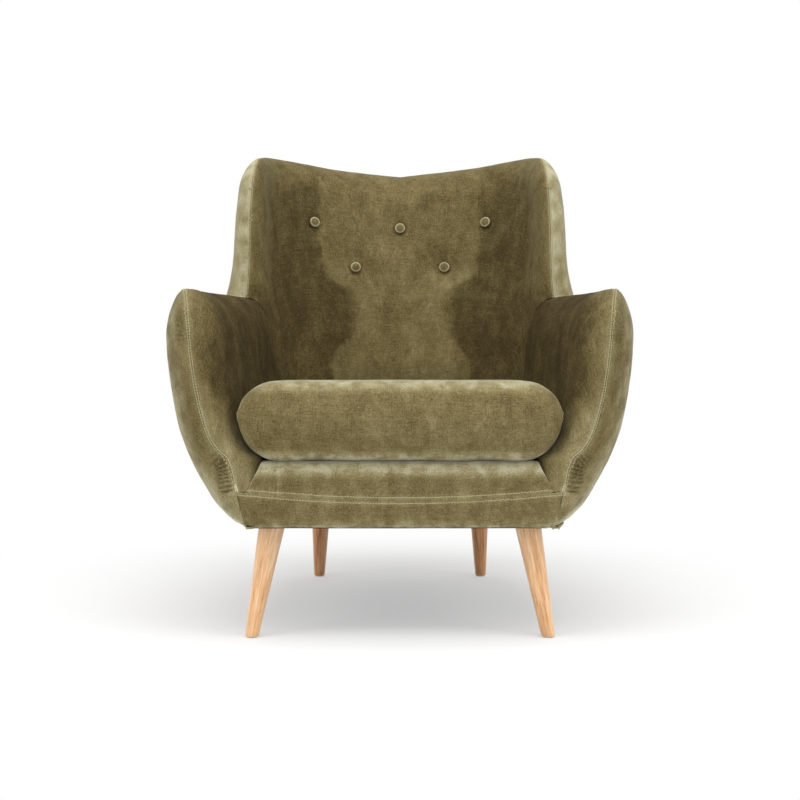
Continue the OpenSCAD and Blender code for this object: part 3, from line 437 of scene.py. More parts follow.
def beside(points, line):
    """Each point's distance to a line, and how far along the line its nearest place is."""
    a, d = line[:-1], np.diff(line, axis=0)
    length = np.linalg.norm(d, axis=1)
    start = np.concatenate([[0], np.cumsum(length)])
    flat = points.reshape(-1, 3)
    gap, at = np.full(len(flat), 1e9), np.zeros(len(flat))
    for k in range(0, len(flat), 4000):
        p = flat[k:k + 4000]
        nearest = (np.square(p).sum(1)[:, None] - 2 * p @ line.T + np.square(line).sum(1)).argmin(1)
        for back in (1, 0):
            i = np.clip(nearest - back, 0, len(a) - 1)
            t = np.clip(((p - a[i]) * d[i]).sum(1) / length[i]**2, 0, 1)
            away = np.linalg.norm(p - a[i] - d[i] * t[:, None], axis=1)
            closer = away < gap[k:k + 4000]
            gap[k:k + 4000][closer] = away[closer]
            at[k:k + 4000][closer] = (start[i] + length[i] * t)[closer]
    return gap.reshape(points.shape[:-1]), at.reshape(points.shape[:-1])


def crease(points, path, wide, deep):
    """A short fold pressed into the cloth along a path, fading towards its ends."""
    line = even(np.array(path, float), 2.0)
    gap, at = beside(points, line)
    share = at / np.linalg.norm(np.diff(line, axis=0), axis=1).sum()
    fade = np.clip(4 * share * (1 - share), 0, 1)
    return deep * (0.6 * bell(gap - wide * 1.7, wide) - bell(gap, wide)) * fade


STITCH_OFF = 2.8        # from a seam to each row of its top-stitching


def seam(d, stitched=1.0, off=STITCH_OFF, fold=0.7):
    """How far the cloth stands up or is drawn down at a distance from a seam and its row of stitches."""
    row = 0.7 * bell(d - off * 0.5, 0.8) - 1.1 * bell(d - off, 0.9) + 0.6 * bell(d - off - 2.4, 1.4)
    return -fold * bell(d, 0.9) - 1.3 * bell(d, 17) + stitched * row


def paler_by_seam(d, off=STITCH_OFF):
    """How much paler the nap is made along a seam and its rows of stitches."""
    return 0.20 * bell(d, 1.2) + 0.42 * bell(d - off, 1.1) + 0.16 * bell(d - off, 5)


def squares(n, m):
    """The faces between n rows of m points, and the points' numbers in those rows."""
    index = np.arange(n * m).reshape(n, m)
    corners = index[:-1, :-1], index[1:, :-1], index[1:, 1:], index[:-1, 1:]
    return np.stack(corners, -1).reshape(-1, 4), index


def put_in(name, spots, faces, material, smooth=None):
    """A new object in the scene, from points in millimetres."""
    mesh = bpy.data.meshes.new(name)
    mesh.from_pydata((np.asarray(spots) / 1000).tolist(), [], faces)
    if smooth is not None:
        mesh.polygons.foreach_set("use_smooth", smooth)
    mesh.materials.append(material)
    made = bpy.data.objects.new(name, mesh)
    scene.collection.objects.link(made)
    return made


def mark_cloth(mesh, flat, nap_and_painted_light):
    """Gives each point its place on the flat cloth, in millimetres, and its nap with painted light and shade
    in it.
    """
    corners = np.empty(len(mesh.loops), np.int32)
    mesh.loops.foreach_get("vertex_index", corners)
    layer = mesh.uv_layers.new(name="flat")
    layer.data.foreach_set("uv", (flat[corners] / 1000).astype(np.float32).ravel())
    mark = mesh.attributes.new("nap_and_painted_light", "FLOAT", "POINT")
    mark.data.foreach_set("value", nap_and_painted_light.astype(np.float32))


def grid_mesh(name, points, flat, nap_and_painted_light, material, flip=False, folded=False):
    """A cloth over a grid of points. flip turns its face over. folded says that the outermost rows are a seam
    allowance, turned in at a sharp fold."""
    n, m = points.shape[:2]
    faces = squares(n, m)[0]
    if flip:
        faces = faces[:, ::-1]
    smooth = np.ones((n - 1, m - 1), bool)
    if folded:
        smooth[[0, -1]] = smooth[:, [0, -1]] = False
    made = put_in(name, points.reshape(-1, 3), faces.tolist(), material, smooth.ravel())
    mark_cloth(made.data, flat.reshape(-1, 2), nap_and_painted_light.ravel())
    return made


def thicken(made, thick):
    """Gives a cloth its thickness in millimetres, inward from its face."""
    wall = made.modifiers.new("thickness", "SOLIDIFY")
    wall.thickness, wall.offset = thick / 1000, -1


CLOTH = 1.6
TURNED_IN = 3.0     # how far the seam allowance goes down into the padding


def panel(name, points, across, down, drawn, nap_and_painted_light, flip, node):
    """A velvet panel sewn to its neighbours: its points are moved outward by drawn, and its edges are turned
    in. It gives back the points of its face."""
    out = normals_of(points) * (-1 if flip else 1)
    points = points + out * drawn[..., None]
    flat = np.stack(np.broadcast_arrays(across, down), -1)
    spread = ((1, 1), (1, 1), (0, 0))
    turned, inward = np.pad(points, spread, "edge"), np.pad(out, spread, "edge") * TURNED_IN
    inward[1:-1, 1:-1] = 0
    made = grid_mesh(name, turned - inward, np.pad(flat, spread, "edge"), np.pad(nap_and_painted_light, 1, "edge"),
                     SHELL_VELVET, flip, True)
    thicken(made, CLOTH)
    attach(made, "chair")
    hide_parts(node)
    return points


def mirrored(points):
    return points * np.array([-1.0, 1, 1])


def doubled(half, sign=1):
    """A half panel's values carried over to the right half."""
    return np.concatenate([half, sign * half[-2::-1]])


# Inside back: one wide velvet panel from wing to wing over thick foam, drawn in a little at five buttons. The
# middle is painted light and the sides towards the wings painted dark, as shade where the back turns into the
# wings.
FOAM_BASE = DECK - 41.3     # the underside of the deck's foam
OUTER_BUTTON, LOWER_BUTTON = 633, 713       # their runs
BUTTONS = [(800, 0.503, 1), (OUTER_BUTTON, 0.503, 1), (OUTER_BUTTON, 0.503, -1), (LOWER_BUTTON, 0.855, 1),
           (LOWER_BUTTON, 0.855, -1)]       # run, share of the way from the crest to the waist, and side
TUFT_DEPTH, TUFT_SPREAD = 9.0, 34.0
WING_STITCHED = 300.0       # how far up the wing and over its corner the double stitching goes
WING_FADE = 40.0
DIMPLE, PLEATS_FROM = 9.0, 17.0     # round each button
BACK_GATHER = 0.74          # radians of the gathers' wave for each millimetre along the wing's seam
# Half the width of the painted light zone at each height; outside it the velvet is painted in shade.
PAINTED_LIGHT_ZONE = [[300, 142], [425, 138], [470, 130], [497, 110], [520, 99], [590, 102], [608, 114], [630, 148],
              [668, 162], [745, 168], [800, 166], [857, 172], [880, 174]]


def waist_z(run):
    """The height from which the buttons' rows are measured."""
    return ARM_TOP + 34 * ramp((run - EDGE_RUN) / 200)


def foot_z(run):
    """The height of the velvet's lower edge, which goes down between the deck's foam and the back."""
    return JUNCTION + (FOAM_BASE - JUNCTION) * ramp((run - EDGE_RUN) / 60)


def tuft_at(button):
    run, share, side = button
    z = rim_z(run) + (waist_z(run) - rim_z(run)) * share
    return float(z), skin(run, z, 1, 0) * np.array([side, 1, 1])


TUFTS = np.array([tuft_at(b)[1] for b in BUTTONS])


def wall_way(run, z):
    """The level direction from the inside face of the wall to its outside face."""
    d = outer_at(run, z) - inner_at(run, z)
    d = d / np.linalg.norm(d, axis=-1, keepdims=True)
    return np.concatenate([d, np.zeros_like(d[..., :1])], -1)


def back_spot(u, v):
    """The run and height at shares of the way from the wing to the middle, and from the rim to the foot."""
    c = EDGE_RUN * (1 + u)
    z = rim_z(c) + (foot_z(c) - rim_z(c)) * v
    leaning = panel_run(z) + (c - EDGE_RUN) * (OUTER_BUTTON - panel_run(z)) / (OUTER_BUTTON - EDGE_RUN)
    return np.where(c >= OUTER_BUTTON, c, leaning), z


def back_place(u, v, depth=0.0):
    run, z = back_spot(u, v)
    gap = np.hypot(*[skin(run, z, 1, 0)[..., None, k] - TUFTS[:, k] for k in (0, 2)])
    pull = TUFT_DEPTH * bell(gap, TUFT_SPREAD).max(-1)
    return skin(run, z, 1, depth) + wall_way(run, z) * pull[..., None]


def near_button(points):
    """Gathers round the nearest button: a pillow's edge, a dimple and faint pleats."""
    gap = points[..., None, :] - TUFTS
    flat = np.hypot(gap[..., 0], gap[..., 2])
    k = flat.argmin(-1)
    r = flat.min(-1)
    turn = np.arctan2(np.take_along_axis(gap[..., 2], k[..., None], -1)[..., 0],
                      np.take_along_axis(gap[..., 0], k[..., None], -1)[..., 0])
    pleat = np.cos(turn * 7 + k * 1.9) + 0.7 * np.cos(turn * 11 + k * 4.1)
    return r, -1.2 * bell(r, DIMPLE) + 0.35 * pleat * bell(r - PLEATS_FROM, 8)


back_half, back_across, back_down = lay_out(back_place, ends=(False, True))
edge_column = back_place(0.0, DENSE[::-1])
wing_line = even(np.concatenate([edge_column[edge_column[:, 2] >= ARM_TOP], back_place(DENSE, 0.0)]))
join_line = even(edge_column[edge_column[:, 2] < ARM_TOP + 1])
rim_gap, rim_run = beside(back_half, wing_line)
join_gap, _ = beside(back_half, join_line)
wing_only = 1 - ramp((rim_run - WING_STITCHED) / WING_FADE)
gather = np.cos(rim_run * BACK_GATHER)
half_drawn = seam(rim_gap, wing_only) + seam(join_gap, 0.25) + 0.5 * gather * bell(rim_gap - 8, 7) * wing_only
back_points = np.concatenate([back_half, mirrored(back_half[-2::-1])])
button_gap, gathers = near_button(back_points)
drawn = doubled(half_drawn) + gathers + 0.9 * lumps(back_points, 70, 1) + 0.3 * lumps(back_points, 22, 2)
height = back_points[..., 2]
# How far each point is outside the painted light zone; from that, dark is the painted shade towards the
# wings.
sideways = np.abs(back_points[..., 0]) - curve(PAINTED_LIGHT_ZONE, height)
sideways = sideways + 8 * lumps(back_points, 42, 5) + 6 * lumps(back_points, 12, 6)
dark = ramp(sideways / (13 + 30 * bell(height - 560, 60)) + 0.5)
edge_gap, foot_gap = doubled(rim_gap), doubled(join_gap)
high_up = ramp((height - 600) / 110)
by_the_wing = bell(edge_gap, 100) * ramp((height - 560) / 60)
# Painted light and shade: pale in the middle, dark outside it, softer high up, a painted highlight by the
# wing's edge, painted shade round each button's dimple.
back_nap_and_painted_light = (-0.02 - 0.13 * high_up - (0.50 - 0.14 * high_up) * dark + 0.34 * dark * by_the_wing
            + paler_by_seam(edge_gap) * (0.4 + 0.6 * doubled(wing_only)) + 0.12 * bell(foot_gap, 2)
            - 0.12 * bell(button_gap - 13, 4))
back_done = panel("inside_back_panel", back_points, doubled(back_across - back_across[-1:], -1),
                  doubled(back_down), drawn, back_nap_and_painted_light, True, "inside_back_cover")


# Inside arms: one velvet panel each, from the seam round the arm's front and top down to the deck, over foam.
# They are painted dark along their upper part, as shade on the inside face that turns away from the light.
SHORT_OF_WING = EDGE_RUN - 0.01     # the last run whose rim is still the arm's
ARM_GATHER = 0.72       # radians of the gathers' wave for each millimetre along the arm's seam
ARM_CREASES = [([(-331, -368, 432), (-322, -362, 452), (-304, -352, 480)], 3.0, 0.9),
               ([(-268, -8, 560), (-262, 22, 540), (-255, 48, 505)], 4.0, 1.2)]     # path, width and depth


def inside_arm_place(u, v, depth=0.0):
    c = EDGE_RUN * u
    top = rim_z(np.minimum(c, SHORT_OF_WING))
    z = top + (foot_z(c) - top) * v
    run = np.where(c <= FRONT_ROUND, c,
                   FRONT_ROUND + (c - FRONT_ROUND) * (panel_run(z) - FRONT_ROUND) / (EDGE_RUN - FRONT_ROUND))
    return skin(run, z, 1, depth)


arm_line = even(np.concatenate([inside_arm_place(0.0, DENSE[::-1]), inside_arm_place(DENSE, 0.0)]))
arm_half, arm_across, arm_down = lay_out(inside_arm_place)
rim_gap, rim_run = beside(arm_half, arm_line)
join_gap, _ = beside(arm_half, join_line)
arm_done = {}
for side, sign in (("left", 1), ("right", -1)):
    spots = arm_half if sign > 0 else mirrored(arm_half)
    seed = 11 + sign
    drawn = seam(rim_gap) + seam(join_gap, 0.25)
    drawn = drawn + 0.9 * lumps(spots, 75, seed) + 0.3 * lumps(spots, 24, seed + 5)
    gather = np.cos(rim_run * ARM_GATHER + seed) * bell(rim_gap - 9, 6)
    drawn = drawn + 0.6 * gather * ramp(lumps(spots, 60, seed + 9) * 3)
    for path, wide, deep in ARM_CREASES:
        drawn = drawn + crease(arm_half, path, wide, deep)
    height = arm_half[..., 2]
    at_front = ramp((-240 - arm_half[..., 1]) / 50)
    # Painted shade over the inside face, less dark low down, and painted light on the front round that faces
    # the light.
    nap_and_painted_light = (-0.68 + 0.36 * ramp((445 - height) / 110) + 0.58 * bell(rim_gap, 46) * at_front
           + paler_by_seam(rim_gap) + 0.10 * bell(join_gap, 2) + 0.14 * lumps(spots, 50, seed + 13)
           + 0.10 * lumps(spots, 16, seed + 14))
    arm_done[side] = panel(f"inside_arm_panel_{side}", spots, arm_across, arm_down, drawn, nap_and_painted_light, sign > 0,
                           f"inside_arm_cover_{side}")


# Outside arms: one velvet panel each over thin wadding, from the same seam out and down to the base, where
# the cloth is turned under and tacked. The seam draws small puckers into it near both ends.
HEM = [(0.8, -0.1), (2.4, -0.5), (6.0, -0.5), (12.0, -0.45)]      # how far inward each row is, and its rise
ARM_ROW = 7.2       # from one pucker to the next
PUCKERS_TO = 34.0   # how far from the seam they reach
LOW_PUCKERS, HIGH_PUCKERS = 86, (250, 330)      # where they are strong: to there, and from and to there
JUNCTION_SPOT = np.array([-250.0, FRONT_Y, 246.0])


def outside_arm_place(u, v):
    c = EDGE_RUN * u
    top = rim_z(np.minimum(c, SHORT_OF_WING))
    return skin(c, top + (UNDER - top) * v, -1, 0)


def turned_under(points):
    """Adds the hem: rows that follow the base's edge inward under it."""
    out = normals_of(points)[:, -2].copy()
    out[:, 2] = 0
    out /= np.linalg.norm(out, axis=-1, keepdims=True)
    rows = [points[:, -1] - out * inward + np.array([0, 0, rise]) for inward, rise in HEM]
    return np.concatenate([points, np.stack(rows, 1)], 1)


def hemmed(values, step=0.0):
    """The same for a value of each point, which goes on by step for each millimetre of the hem."""
    last = values[:, -1:]
    return np.concatenate([values] + [last + step * k[0] for k in HEM], 1)


outer_arm_half, outer_across, outer_down = lay_out(outside_arm_place)
rim_gap, rim_run = beside(outer_arm_half, arm_line)
side_line = even(outside_arm_place(1.0, DENSE))
side_gap, _ = beside(outer_arm_half, side_line)
outer_arm_done = {}
for side, sign in (("left", 1), ("right", -1)):
    spots = outer_arm_half if sign > 0 else mirrored(outer_arm_half)
    seed = 31 + sign
    sewn = 0.15 + 0.85 * ramp((outer_arm_half[..., 2] - JUNCTION + 14) / 14)
    drawn = seam(rim_gap) * sewn + seam(side_gap, 0.0)
    drawn = drawn + 1.0 * lumps(spots, 80, seed) + 0.45 * lumps(spots, 24, seed + 5)
    low = ramp((LOW_PUCKERS - rim_run) / 30)
    high = ramp((rim_run - HIGH_PUCKERS[0]) / 20) * ramp((HIGH_PUCKERS[1] - rim_run) / 20)
    reach = rim_gap * np.clip((PUCKERS_TO - rim_gap) / 30, 0, 1) / 10
    wander = rim_run + 2.5 * lumps(spots, 30, seed + 2)
    pucker = np.cos(2 * math.pi * wander / ARM_ROW) * np.clip(reach, 0, 1)
    drawn = drawn + pucker * (3.0 * low + 1.6 * high + 0.4)
    away = outer_arm_half - JUNCTION_SPOT
    r, turn = np.hypot(away[..., 0], away[..., 2]), np.arctan2(away[..., 2], away[..., 0])
    drawn = drawn + 0.9 * np.cos(turn * 15) * np.clip(r / 8, 0, 1) * bell(r, 24)
    height = outer_arm_half[..., 2]
    mottling = ramp(0.5 + 1.6 * lumps(spots, 34, seed + 13) + 0.8 * lumps(spots, 11, seed + 14))
    # Paler low down, along the seam and the base, with mottled pale patches; painted highlights on the
    # puckers' ridges and painted shade in their hollows, and a painted highlight down the lower part where
    # the face turns sideways.
    nap_and_painted_light = (-0.12 + 0.20 * ramp((330 - height) / 110) + paler_by_seam(rim_gap) * sewn + 0.10 * bell(rim_gap, 14)
           + 0.42 * mottling * (0.6 * ramp((rim_gap - 16) / 24) + 0.4 * bell(height - UNDER, 40))
           + 0.24 * bell(height - UNDER, 12) + 0.24 * pucker * (low + 0.6 * high)
           + 0.16 * ramp((rim_gap - 35) / 30) * ramp((430 - height) / 90))
    spots, drawn, nap_and_painted_light = turned_under(spots), hemmed(drawn), hemmed(nap_and_painted_light)
    outer_arm_done[side] = panel(f"outside_arm_panel_{side}", spots, hemmed(outer_across),
                                 hemmed(outer_down, 1), drawn, nap_and_painted_light, sign < 0, f"outside_arm_cover_{side}")


# Outside back: one velvet panel from wing to wing round the rear, closed along the crest and the wings by
# hand, seamed to the outside arms, and turned under at the base like them.
REAR_GATHER = 0.70      # radians of the gathers' wave for each millimetre along the wing's seam


def outside_back_place(u, v):
    c = EDGE_RUN * (1 + u)
    top = rim_z(c)
    return skin(c, top + (UNDER - top) * v, -1, 0)


outer_half, outer_back_across, outer_back_down = lay_out(outside_back_place, coarse=4.4, ends=(False, True))
rim_gap, rim_run = beside(outer_half, wing_line)
side_column = outside_back_place(0.0, DENSE)
side_gap, _ = beside(outer_half, even(side_column[side_column[:, 2] < ARM_TOP]))
wing_only = 1 - ramp((rim_run - WING_STITCHED) / WING_FADE)
half_drawn = seam(rim_gap, wing_only) + seam(side_gap, 0.0)
gather = np.cos(rim_run * REAR_GATHER) * np.clip(rim_gap / 8, 0, 1) * bell(rim_gap - 6, 12)
half_drawn = half_drawn + 0.85 * gather * wing_only * (0.5 + 1.2 * ramp((110 - rim_run) / 40))
outer_points = np.concatenate([outer_half, mirrored(outer_half[-2::-1])])
drawn = doubled(half_drawn) + 1.0 * lumps(outer_points, 90, 51) + 0.3 * lumps(outer_points, 26, 52)
# A painted highlight, mottled, runs along the wing's rounded edge; the nap is also paler along the seams and
# the base.
nap_and_painted_light = (0.05 + paler_by_seam(doubled(rim_gap)) * (0.4 + 0.6 * doubled(wing_only)) + 0.12 * bell(doubled(side_gap), 2)
       + doubled(wing_only) * bell(doubled(rim_gap), 38) * (0.60 + 0.6 * lumps(outer_points, 24, 55))
       + 0.14 * bell(outer_points[..., 2] - UNDER, 12)
       + 0.12 * lumps(outer_points, 80, 53) + 0.06 * lumps(outer_points, 20, 54))
across, down = doubled(outer_back_across - outer_back_across[-1:], -1), doubled(outer_back_down)
outer_done = panel("outside_back_panel", turned_under(outer_points), hemmed(across), hemmed(down, 1),
                   hemmed(drawn), hemmed(nap_and_painted_light), False, "outside_back_cover")


# Front band: two velvet panels across the front, joined by a seam that dips in the middle. The upper one
# rolls back over the deck's front edge under the cushion, and the lower one is turned under the base.
BAND_ROLL, BAND_BACK, BAND_DIP = 20.0, 53.0, 13.0
BAND_STITCH = 4.7       # from the band's seam to each row of its top-stitching
BAND_ROW = 9.5          # from one gather to the next along it
LAP = 1.3               # how far the lower panel's ends go under the arms' velvet
BAND_CREASE = [(-199, -371, 291), (-197, -371, 279), (-198, -371, 262)]


def band_half_x(z):
    return -inner_at(FRONT_ROUND, z)[..., 0] - SEAM_GAP


def band_seam_z(x):
    return JUNCTION - 1 - BAND_DIP * (1 - (x / -inner_at(0.0, JUNCTION)[0])**2)


BAND_END = band_half_x(np.float64(JUNCTION))


def upper_band_place(u, v):
    k, v = np.broadcast_arrays(2 * u - 1, v)
    low = band_seam_z(k * BAND_END) + SEAM_GAP / 2
    flat, arc = BAND_BACK - BAND_ROLL, BAND_ROLL * math.pi / 2
    s = v * (flat + arc + DECK - BAND_ROLL - low)
    turn = np.clip((s - flat) / BAND_ROLL, 0, math.pi / 2)
    y = FRONT_Y + BAND_ROLL + np.maximum(0, flat - s) - BAND_ROLL * np.sin(turn)
    z = DECK - BAND_ROLL + BAND_ROLL * np.cos(turn) - np.maximum(0, s - flat - arc)
    return np.stack([k * band_half_x(np.maximum(z, JUNCTION)), y, z], -1)


def lower_band_place(u, v):
    k, v = np.broadcast_arrays(2 * u - 1, v)
    top_x = np.clip(k * (LAP - skin(0.0, JUNCTION, 1, 0)[..., 0]), -BAND_END, BAND_END)
    top = band_seam_z(top_x) - SEAM_GAP / 2 + LAP * ramp((np.abs(k) - 0.94) / 0.04)
    z = top + (UNDER - top) * v
    lapped = ramp((np.abs(k) - 0.985) / 0.012)
    under = LAP * ramp((z - UNDER - 1) / 9)
    return np.stack([k * (-skin(0.0, z, 1, 0)[..., 0] + under), face_y(z) + 0.45 * lapped, z], -1)


band_line = even(lower_band_place(DENSE, 0.0))
band_half = band_line[band_line[:, 0] < 0]
band_line = even(np.concatenate([band_half, mirrored(band_half)[::-1]]))
band_done = {}
for part, place in (("upper", upper_band_place), ("lower", lower_band_place)):
    spots, across, down = lay_out(place, fine=1.0)
    gap, along = beside(spots, band_line)
    ends = np.minimum(across, across[-1:] - across)
    end_drawn = 0.9 if part == "upper" else 0.1
    drawn = seam(gap, 0.45, BAND_STITCH, 0.1) + 0.3 * bell(gap, 3.5) - 0.1 * bell(ends, 1.2)
    drawn = drawn - end_drawn * bell(ends, 9) + 0.8 * lumps(spots, 60, 61) + 0.35 * lumps(spots, 20, 62)
    gather = np.cos(along * 2 * math.pi / BAND_ROW + 2 * lumps(spots, 40, 64))
    drawn = drawn + 0.5 * gather * bell(gap - 11, 5)
    mottling = ramp(0.5 + 1.5 * lumps(spots, 18, 65) + 0.9 * lumps(spots, 8, 66))
    # Painted light at each panel's ends, against the shade in the laps under the arms.
    nap_and_painted_light = (-0.02 + 0.12 * lumps(spots, 45, 63) + paler_by_seam(gap, BAND_STITCH) + 0.14 * bell(gap, 4)
           + 0.3 * bell(ends, 3))
    if part == "upper":
        drawn = drawn + crease(spots, BAND_CREASE, 2.2, 1.4)
        # Painted light on the roll under the cushion's nose, mottled, against the shade the cushion casts
        # there, and a painted highlight along the crease.
        nap_and_painted_light = nap_and_painted_light + (0.56 + 0.34 * mottling) * ramp((spots[..., 2] - 264) / 20)
        nap_and_painted_light = nap_and_painted_light + 0.3 * bell(spots[..., 0] + 196, 3) * mottling
    else:
        nap_and_painted_light = nap_and_painted_light + (0.14 + 0.45 * mottling) * bell(spots[..., 2] - UNDER, 13)
        drawn, nap_and_painted_light, across, down = hemmed(drawn), hemmed(nap_and_painted_light), hemmed(across), hemmed(down, 1)
        hem = [spots[:, -1] + np.array([0, inward, rise]) for inward, rise in HEM]
        spots = np.concatenate([spots, np.stack(hem, 1)], 1)
    band_done[part] = panel(f"front_band_{part}_panel", spots, across, down, drawn, nap_and_painted_light, True,
                            f"front_band_{part}")


# Top-stitching: a thick pale twist in long stitches, one row on each side of the seams round the arms'
# fronts, down the wings and along the front band.
THREAD_R = 0.62
THREAD_SIDES = 6
THREAD_LIFT = 0.25      # clear of the cloth
STITCH_LONG, STITCH_PITCH = 3.3, 4.5
# Rings of a stitch: their places along its length, and their width and height by the thread's radius.
STITCH_FORM = [(-0.5, 0.25, -0.4), (-0.34, 0.9, 0.1), (0.0, 1.0, 0.25), (0.34, 0.9, 0.1), (0.5, 0.25, -0.4)]


def thread_material():
    made, tree, shader = new_material("stitching_thread", 0.75, 0.25)
    shader.inputs["Sheen Weight"].default_value = 0.2
    here = join(tree, "TexCoord").outputs["Object"]
    twist = speckle(tree, here, 1500, detail=1.0)
    tree.links.new(ramp_of(tree, twist, [(0.3, (0.38, 0.33, 0.15, 1)), (0.7, (0.60, 0.54, 0.30, 1))]),
                   shader.inputs["Base Color"])
    bump(tree, shader, twist, 0.5, 0.0004)
    return made


THREAD = thread_material()


def tree_of(grid):
    return BVHTree.FromPolygons(grid.reshape(-1, 3).tolist(), squares(*grid.shape[:2])[0].tolist())


def stitch_row(line, laid, finished, off):
    """Where each stitch of a row beside a seam line lies: its place, the way it runs and the way up from the
    cloth. laid is the panel before it is drawn in, and finished the panel's face."""
    smooth, cloth = tree_of(laid), tree_of(finished)
    line = even(line, STITCH_PITCH / 2)
    row = []
    for k in range(1, len(line) - 1, 2):
        at, ahead = Vector(line[k]), Vector(line[k + 1] - line[k - 1]).normalized()
        up = smooth.find_nearest(at)[1]
        beside_line = up.cross(ahead).normalized() * off
        spots = [smooth.find_nearest(at + beside_line * turn) for turn in (1, -1)]
        spot, up, _, _ = min(spots, key=lambda found: found[3])
        if abs((spot - at).length - off) > off * 0.4:
            continue
        row.append((cloth.find_nearest(spot)[0], ahead, up))
    return row


def stitches(name, rows, centre):
    """All the stitches of some rows as one mesh. centre, a point in the padding, tells which way is up."""
    verts, faces = [], []
    ring = [(math.cos(a), math.sin(a)) for a in np.arange(THREAD_SIDES) * 2 * math.pi / THREAD_SIDES]
    last = (len(STITCH_FORM) - 1) * THREAD_SIDES
    for at, ahead, up in [stitch for row in rows for stitch in row]:
        if up.dot(at - Vector(centre(at))) < 0:
            up = -up
        side, base = up.cross(ahead), len(verts)
        for along, thick, high in STITCH_FORM:
            for c, q in ring:
                verts.append(at + ahead * along * STITCH_LONG + side * c * thick * THREAD_R
                             + up * (q * thick * THREAD_R + high * THREAD_R + THREAD_LIFT))
        for start in range(base, base + last, THREAD_SIDES):
            for j in range(THREAD_SIDES):
                a, b = start + j, start + (j + 1) % THREAD_SIDES
                faces.append((a, b, b + THREAD_SIDES, a + THREAD_SIDES))
        faces.append(tuple(base + j for j in reversed(range(THREAD_SIDES))))
        faces.append(tuple(base + last + j for j in range(THREAD_SIDES)))
    made = put_in(name, verts, faces, THREAD, [True] * len(faces))
    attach(made, "chair")


def arm_core(at):
    """A point in the middle of the arm at the same height."""
    sign = 1 if at.x > 0 else -1
    return (sign * 335, max(at.y, -300), min(at.z, 500))


def wing_core(at):
    """A point in the middle of the wing at the same height."""
    sign = 1 if at.x > 0 else -1
    return (sign * min(abs(at.x), 300), max(at.y, 110), min(at.z, 800))


wing_part = wing_line[:int(WING_STITCHED) + 20]
middle = len(back_half) - 1
for side, sign in (("left", 1), ("right", -1)):
    flip = (lambda p: p) if sign > 0 else mirrored
    arm_rows = [stitch_row(flip(arm_line[6:-6]), flip(arm_half), arm_done[side], STITCH_OFF),
                stitch_row(flip(arm_line[6:-6]), flip(outer_arm_half), outer_arm_done[side], STITCH_OFF)]
    stitches(f"arm_stitching_{side}", arm_rows, arm_core)
    inner = back_done[:middle + 1] if sign > 0 else back_done[middle:]
    outer = outer_done[:len(outer_half)] if sign > 0 else outer_done[len(outer_half) - 1:]
    wing_rows = [stitch_row(flip(wing_part), flip(back_half), inner, STITCH_OFF),
                 stitch_row(flip(wing_part), flip(outer_half), outer, STITCH_OFF)]
    stitches(f"wing_stitching_{side}", wing_rows, wing_core)
band_rows = [stitch_row(band_line[3:-3], lay_out(place, 2.0)[0], band_done[part], BAND_STITCH)
             for part, place in (("upper", upper_band_place), ("lower", lower_band_place))]
stitches("band_stitching", band_rows, lambda at: (at.x, at.y + 200, at.z))


# Covered buttons: a small disc of the velvet drawn tight over a domed shell, on a steel plate, held by twine
# through the foam. A painted highlight rings each rim, and the crown is painted a little darker, as velvet
# seen face on.
BUTTON_R, BUTTON_LIFT = 11.0, 4.3
# Where the painted highlight ring lies on each button.
HIGHLIGHT_RING = 0.84      # of the radius
# The button's side view, from its rear to its crown: share of the radius, and height in millimetres.
BUTTON_FORM = [(0.62, -0.9), (0.86, -0.9), (0.97, -0.55), (1.0, 0.25), (0.985, 1.2), (0.94, 2.05),
               (0.87, 2.75), (0.80, 3.15), (0.72, 3.35), (0.60, 4.0), (0.45, 4.6), (0.28, 5.0), (0.13, 5.2),
               (0.0, 5.25)]
BUTTON_SIDES = 40
button_verts, button_faces, button_nap_and_painted_light, button_flat = [], [], [], []
for number, (button, tuft) in enumerate(zip(BUTTONS, TUFTS)):
    z, _ = tuft_at(button)
    run, on_side = button[0], np.array([button[2], 1, 1])
    pulled = tuft + wall_way(np.float64(run), np.float64(z)) * TUFT_DEPTH * on_side
    up = (skin(run, z + 1, 1, 0) - skin(run, z - 1, 1, 0)) * on_side
    along = (skin(run - 1, z, 1, 0) - skin(run + 1, z, 1, 0)) * on_side
    out = np.cross(up, along)
    out *= -np.sign(out[1]) / np.linalg.norm(out)
    side = np.cross(out, [0, 0, 1.0])
    side /= np.linalg.norm(side)
    over = np.cross(side, out)
    base = len(button_verts)
    for share, high in BUTTON_FORM:
        for j in range(BUTTON_SIDES):
            a = 2 * math.pi * j / BUTTON_SIDES
            pleat = 1 + 0.012 * math.cos(a * 9 + number) * (high < 1.5)
            r = share * BUTTON_R * pleat
            spot = pulled + out * (BUTTON_LIFT + high) + side * r * math.cos(a) + over * r * math.sin(a)
            button_verts.append(spot)
            # Painted highlight ring on the rim, painted shade on the crown.
            button_nap_and_painted_light.append(0.04 + bell(share - HIGHLIGHT_RING, 0.09) * (high > 1.5) - 0.16 * (share < 0.65))
            button_flat.append((400 * number + r * math.cos(a), r * math.sin(a)))
    for k in range(len(BUTTON_FORM) - 1):
        for j in range(BUTTON_SIDES):
            a, b = base + k * BUTTON_SIDES + j, base + k * BUTTON_SIDES + (j + 1) % BUTTON_SIDES
            button_faces.append((a, b, b + BUTTON_SIDES, a + BUTTON_SIDES))
    button_faces.append(tuple(base + j for j in reversed(range(BUTTON_SIDES))))
buttons = put_in("covered_buttons", button_verts, button_faces, SHELL_VELVET, [True] * len(button_faces))
mark_cloth(buttons.data, np.array(button_flat), np.array(button_nap_and_painted_light))
weld = buttons.modifiers.new("weld", "WELD")
weld.merge_threshold = 0.00005
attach(buttons, "chair")
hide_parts("back_buttons")


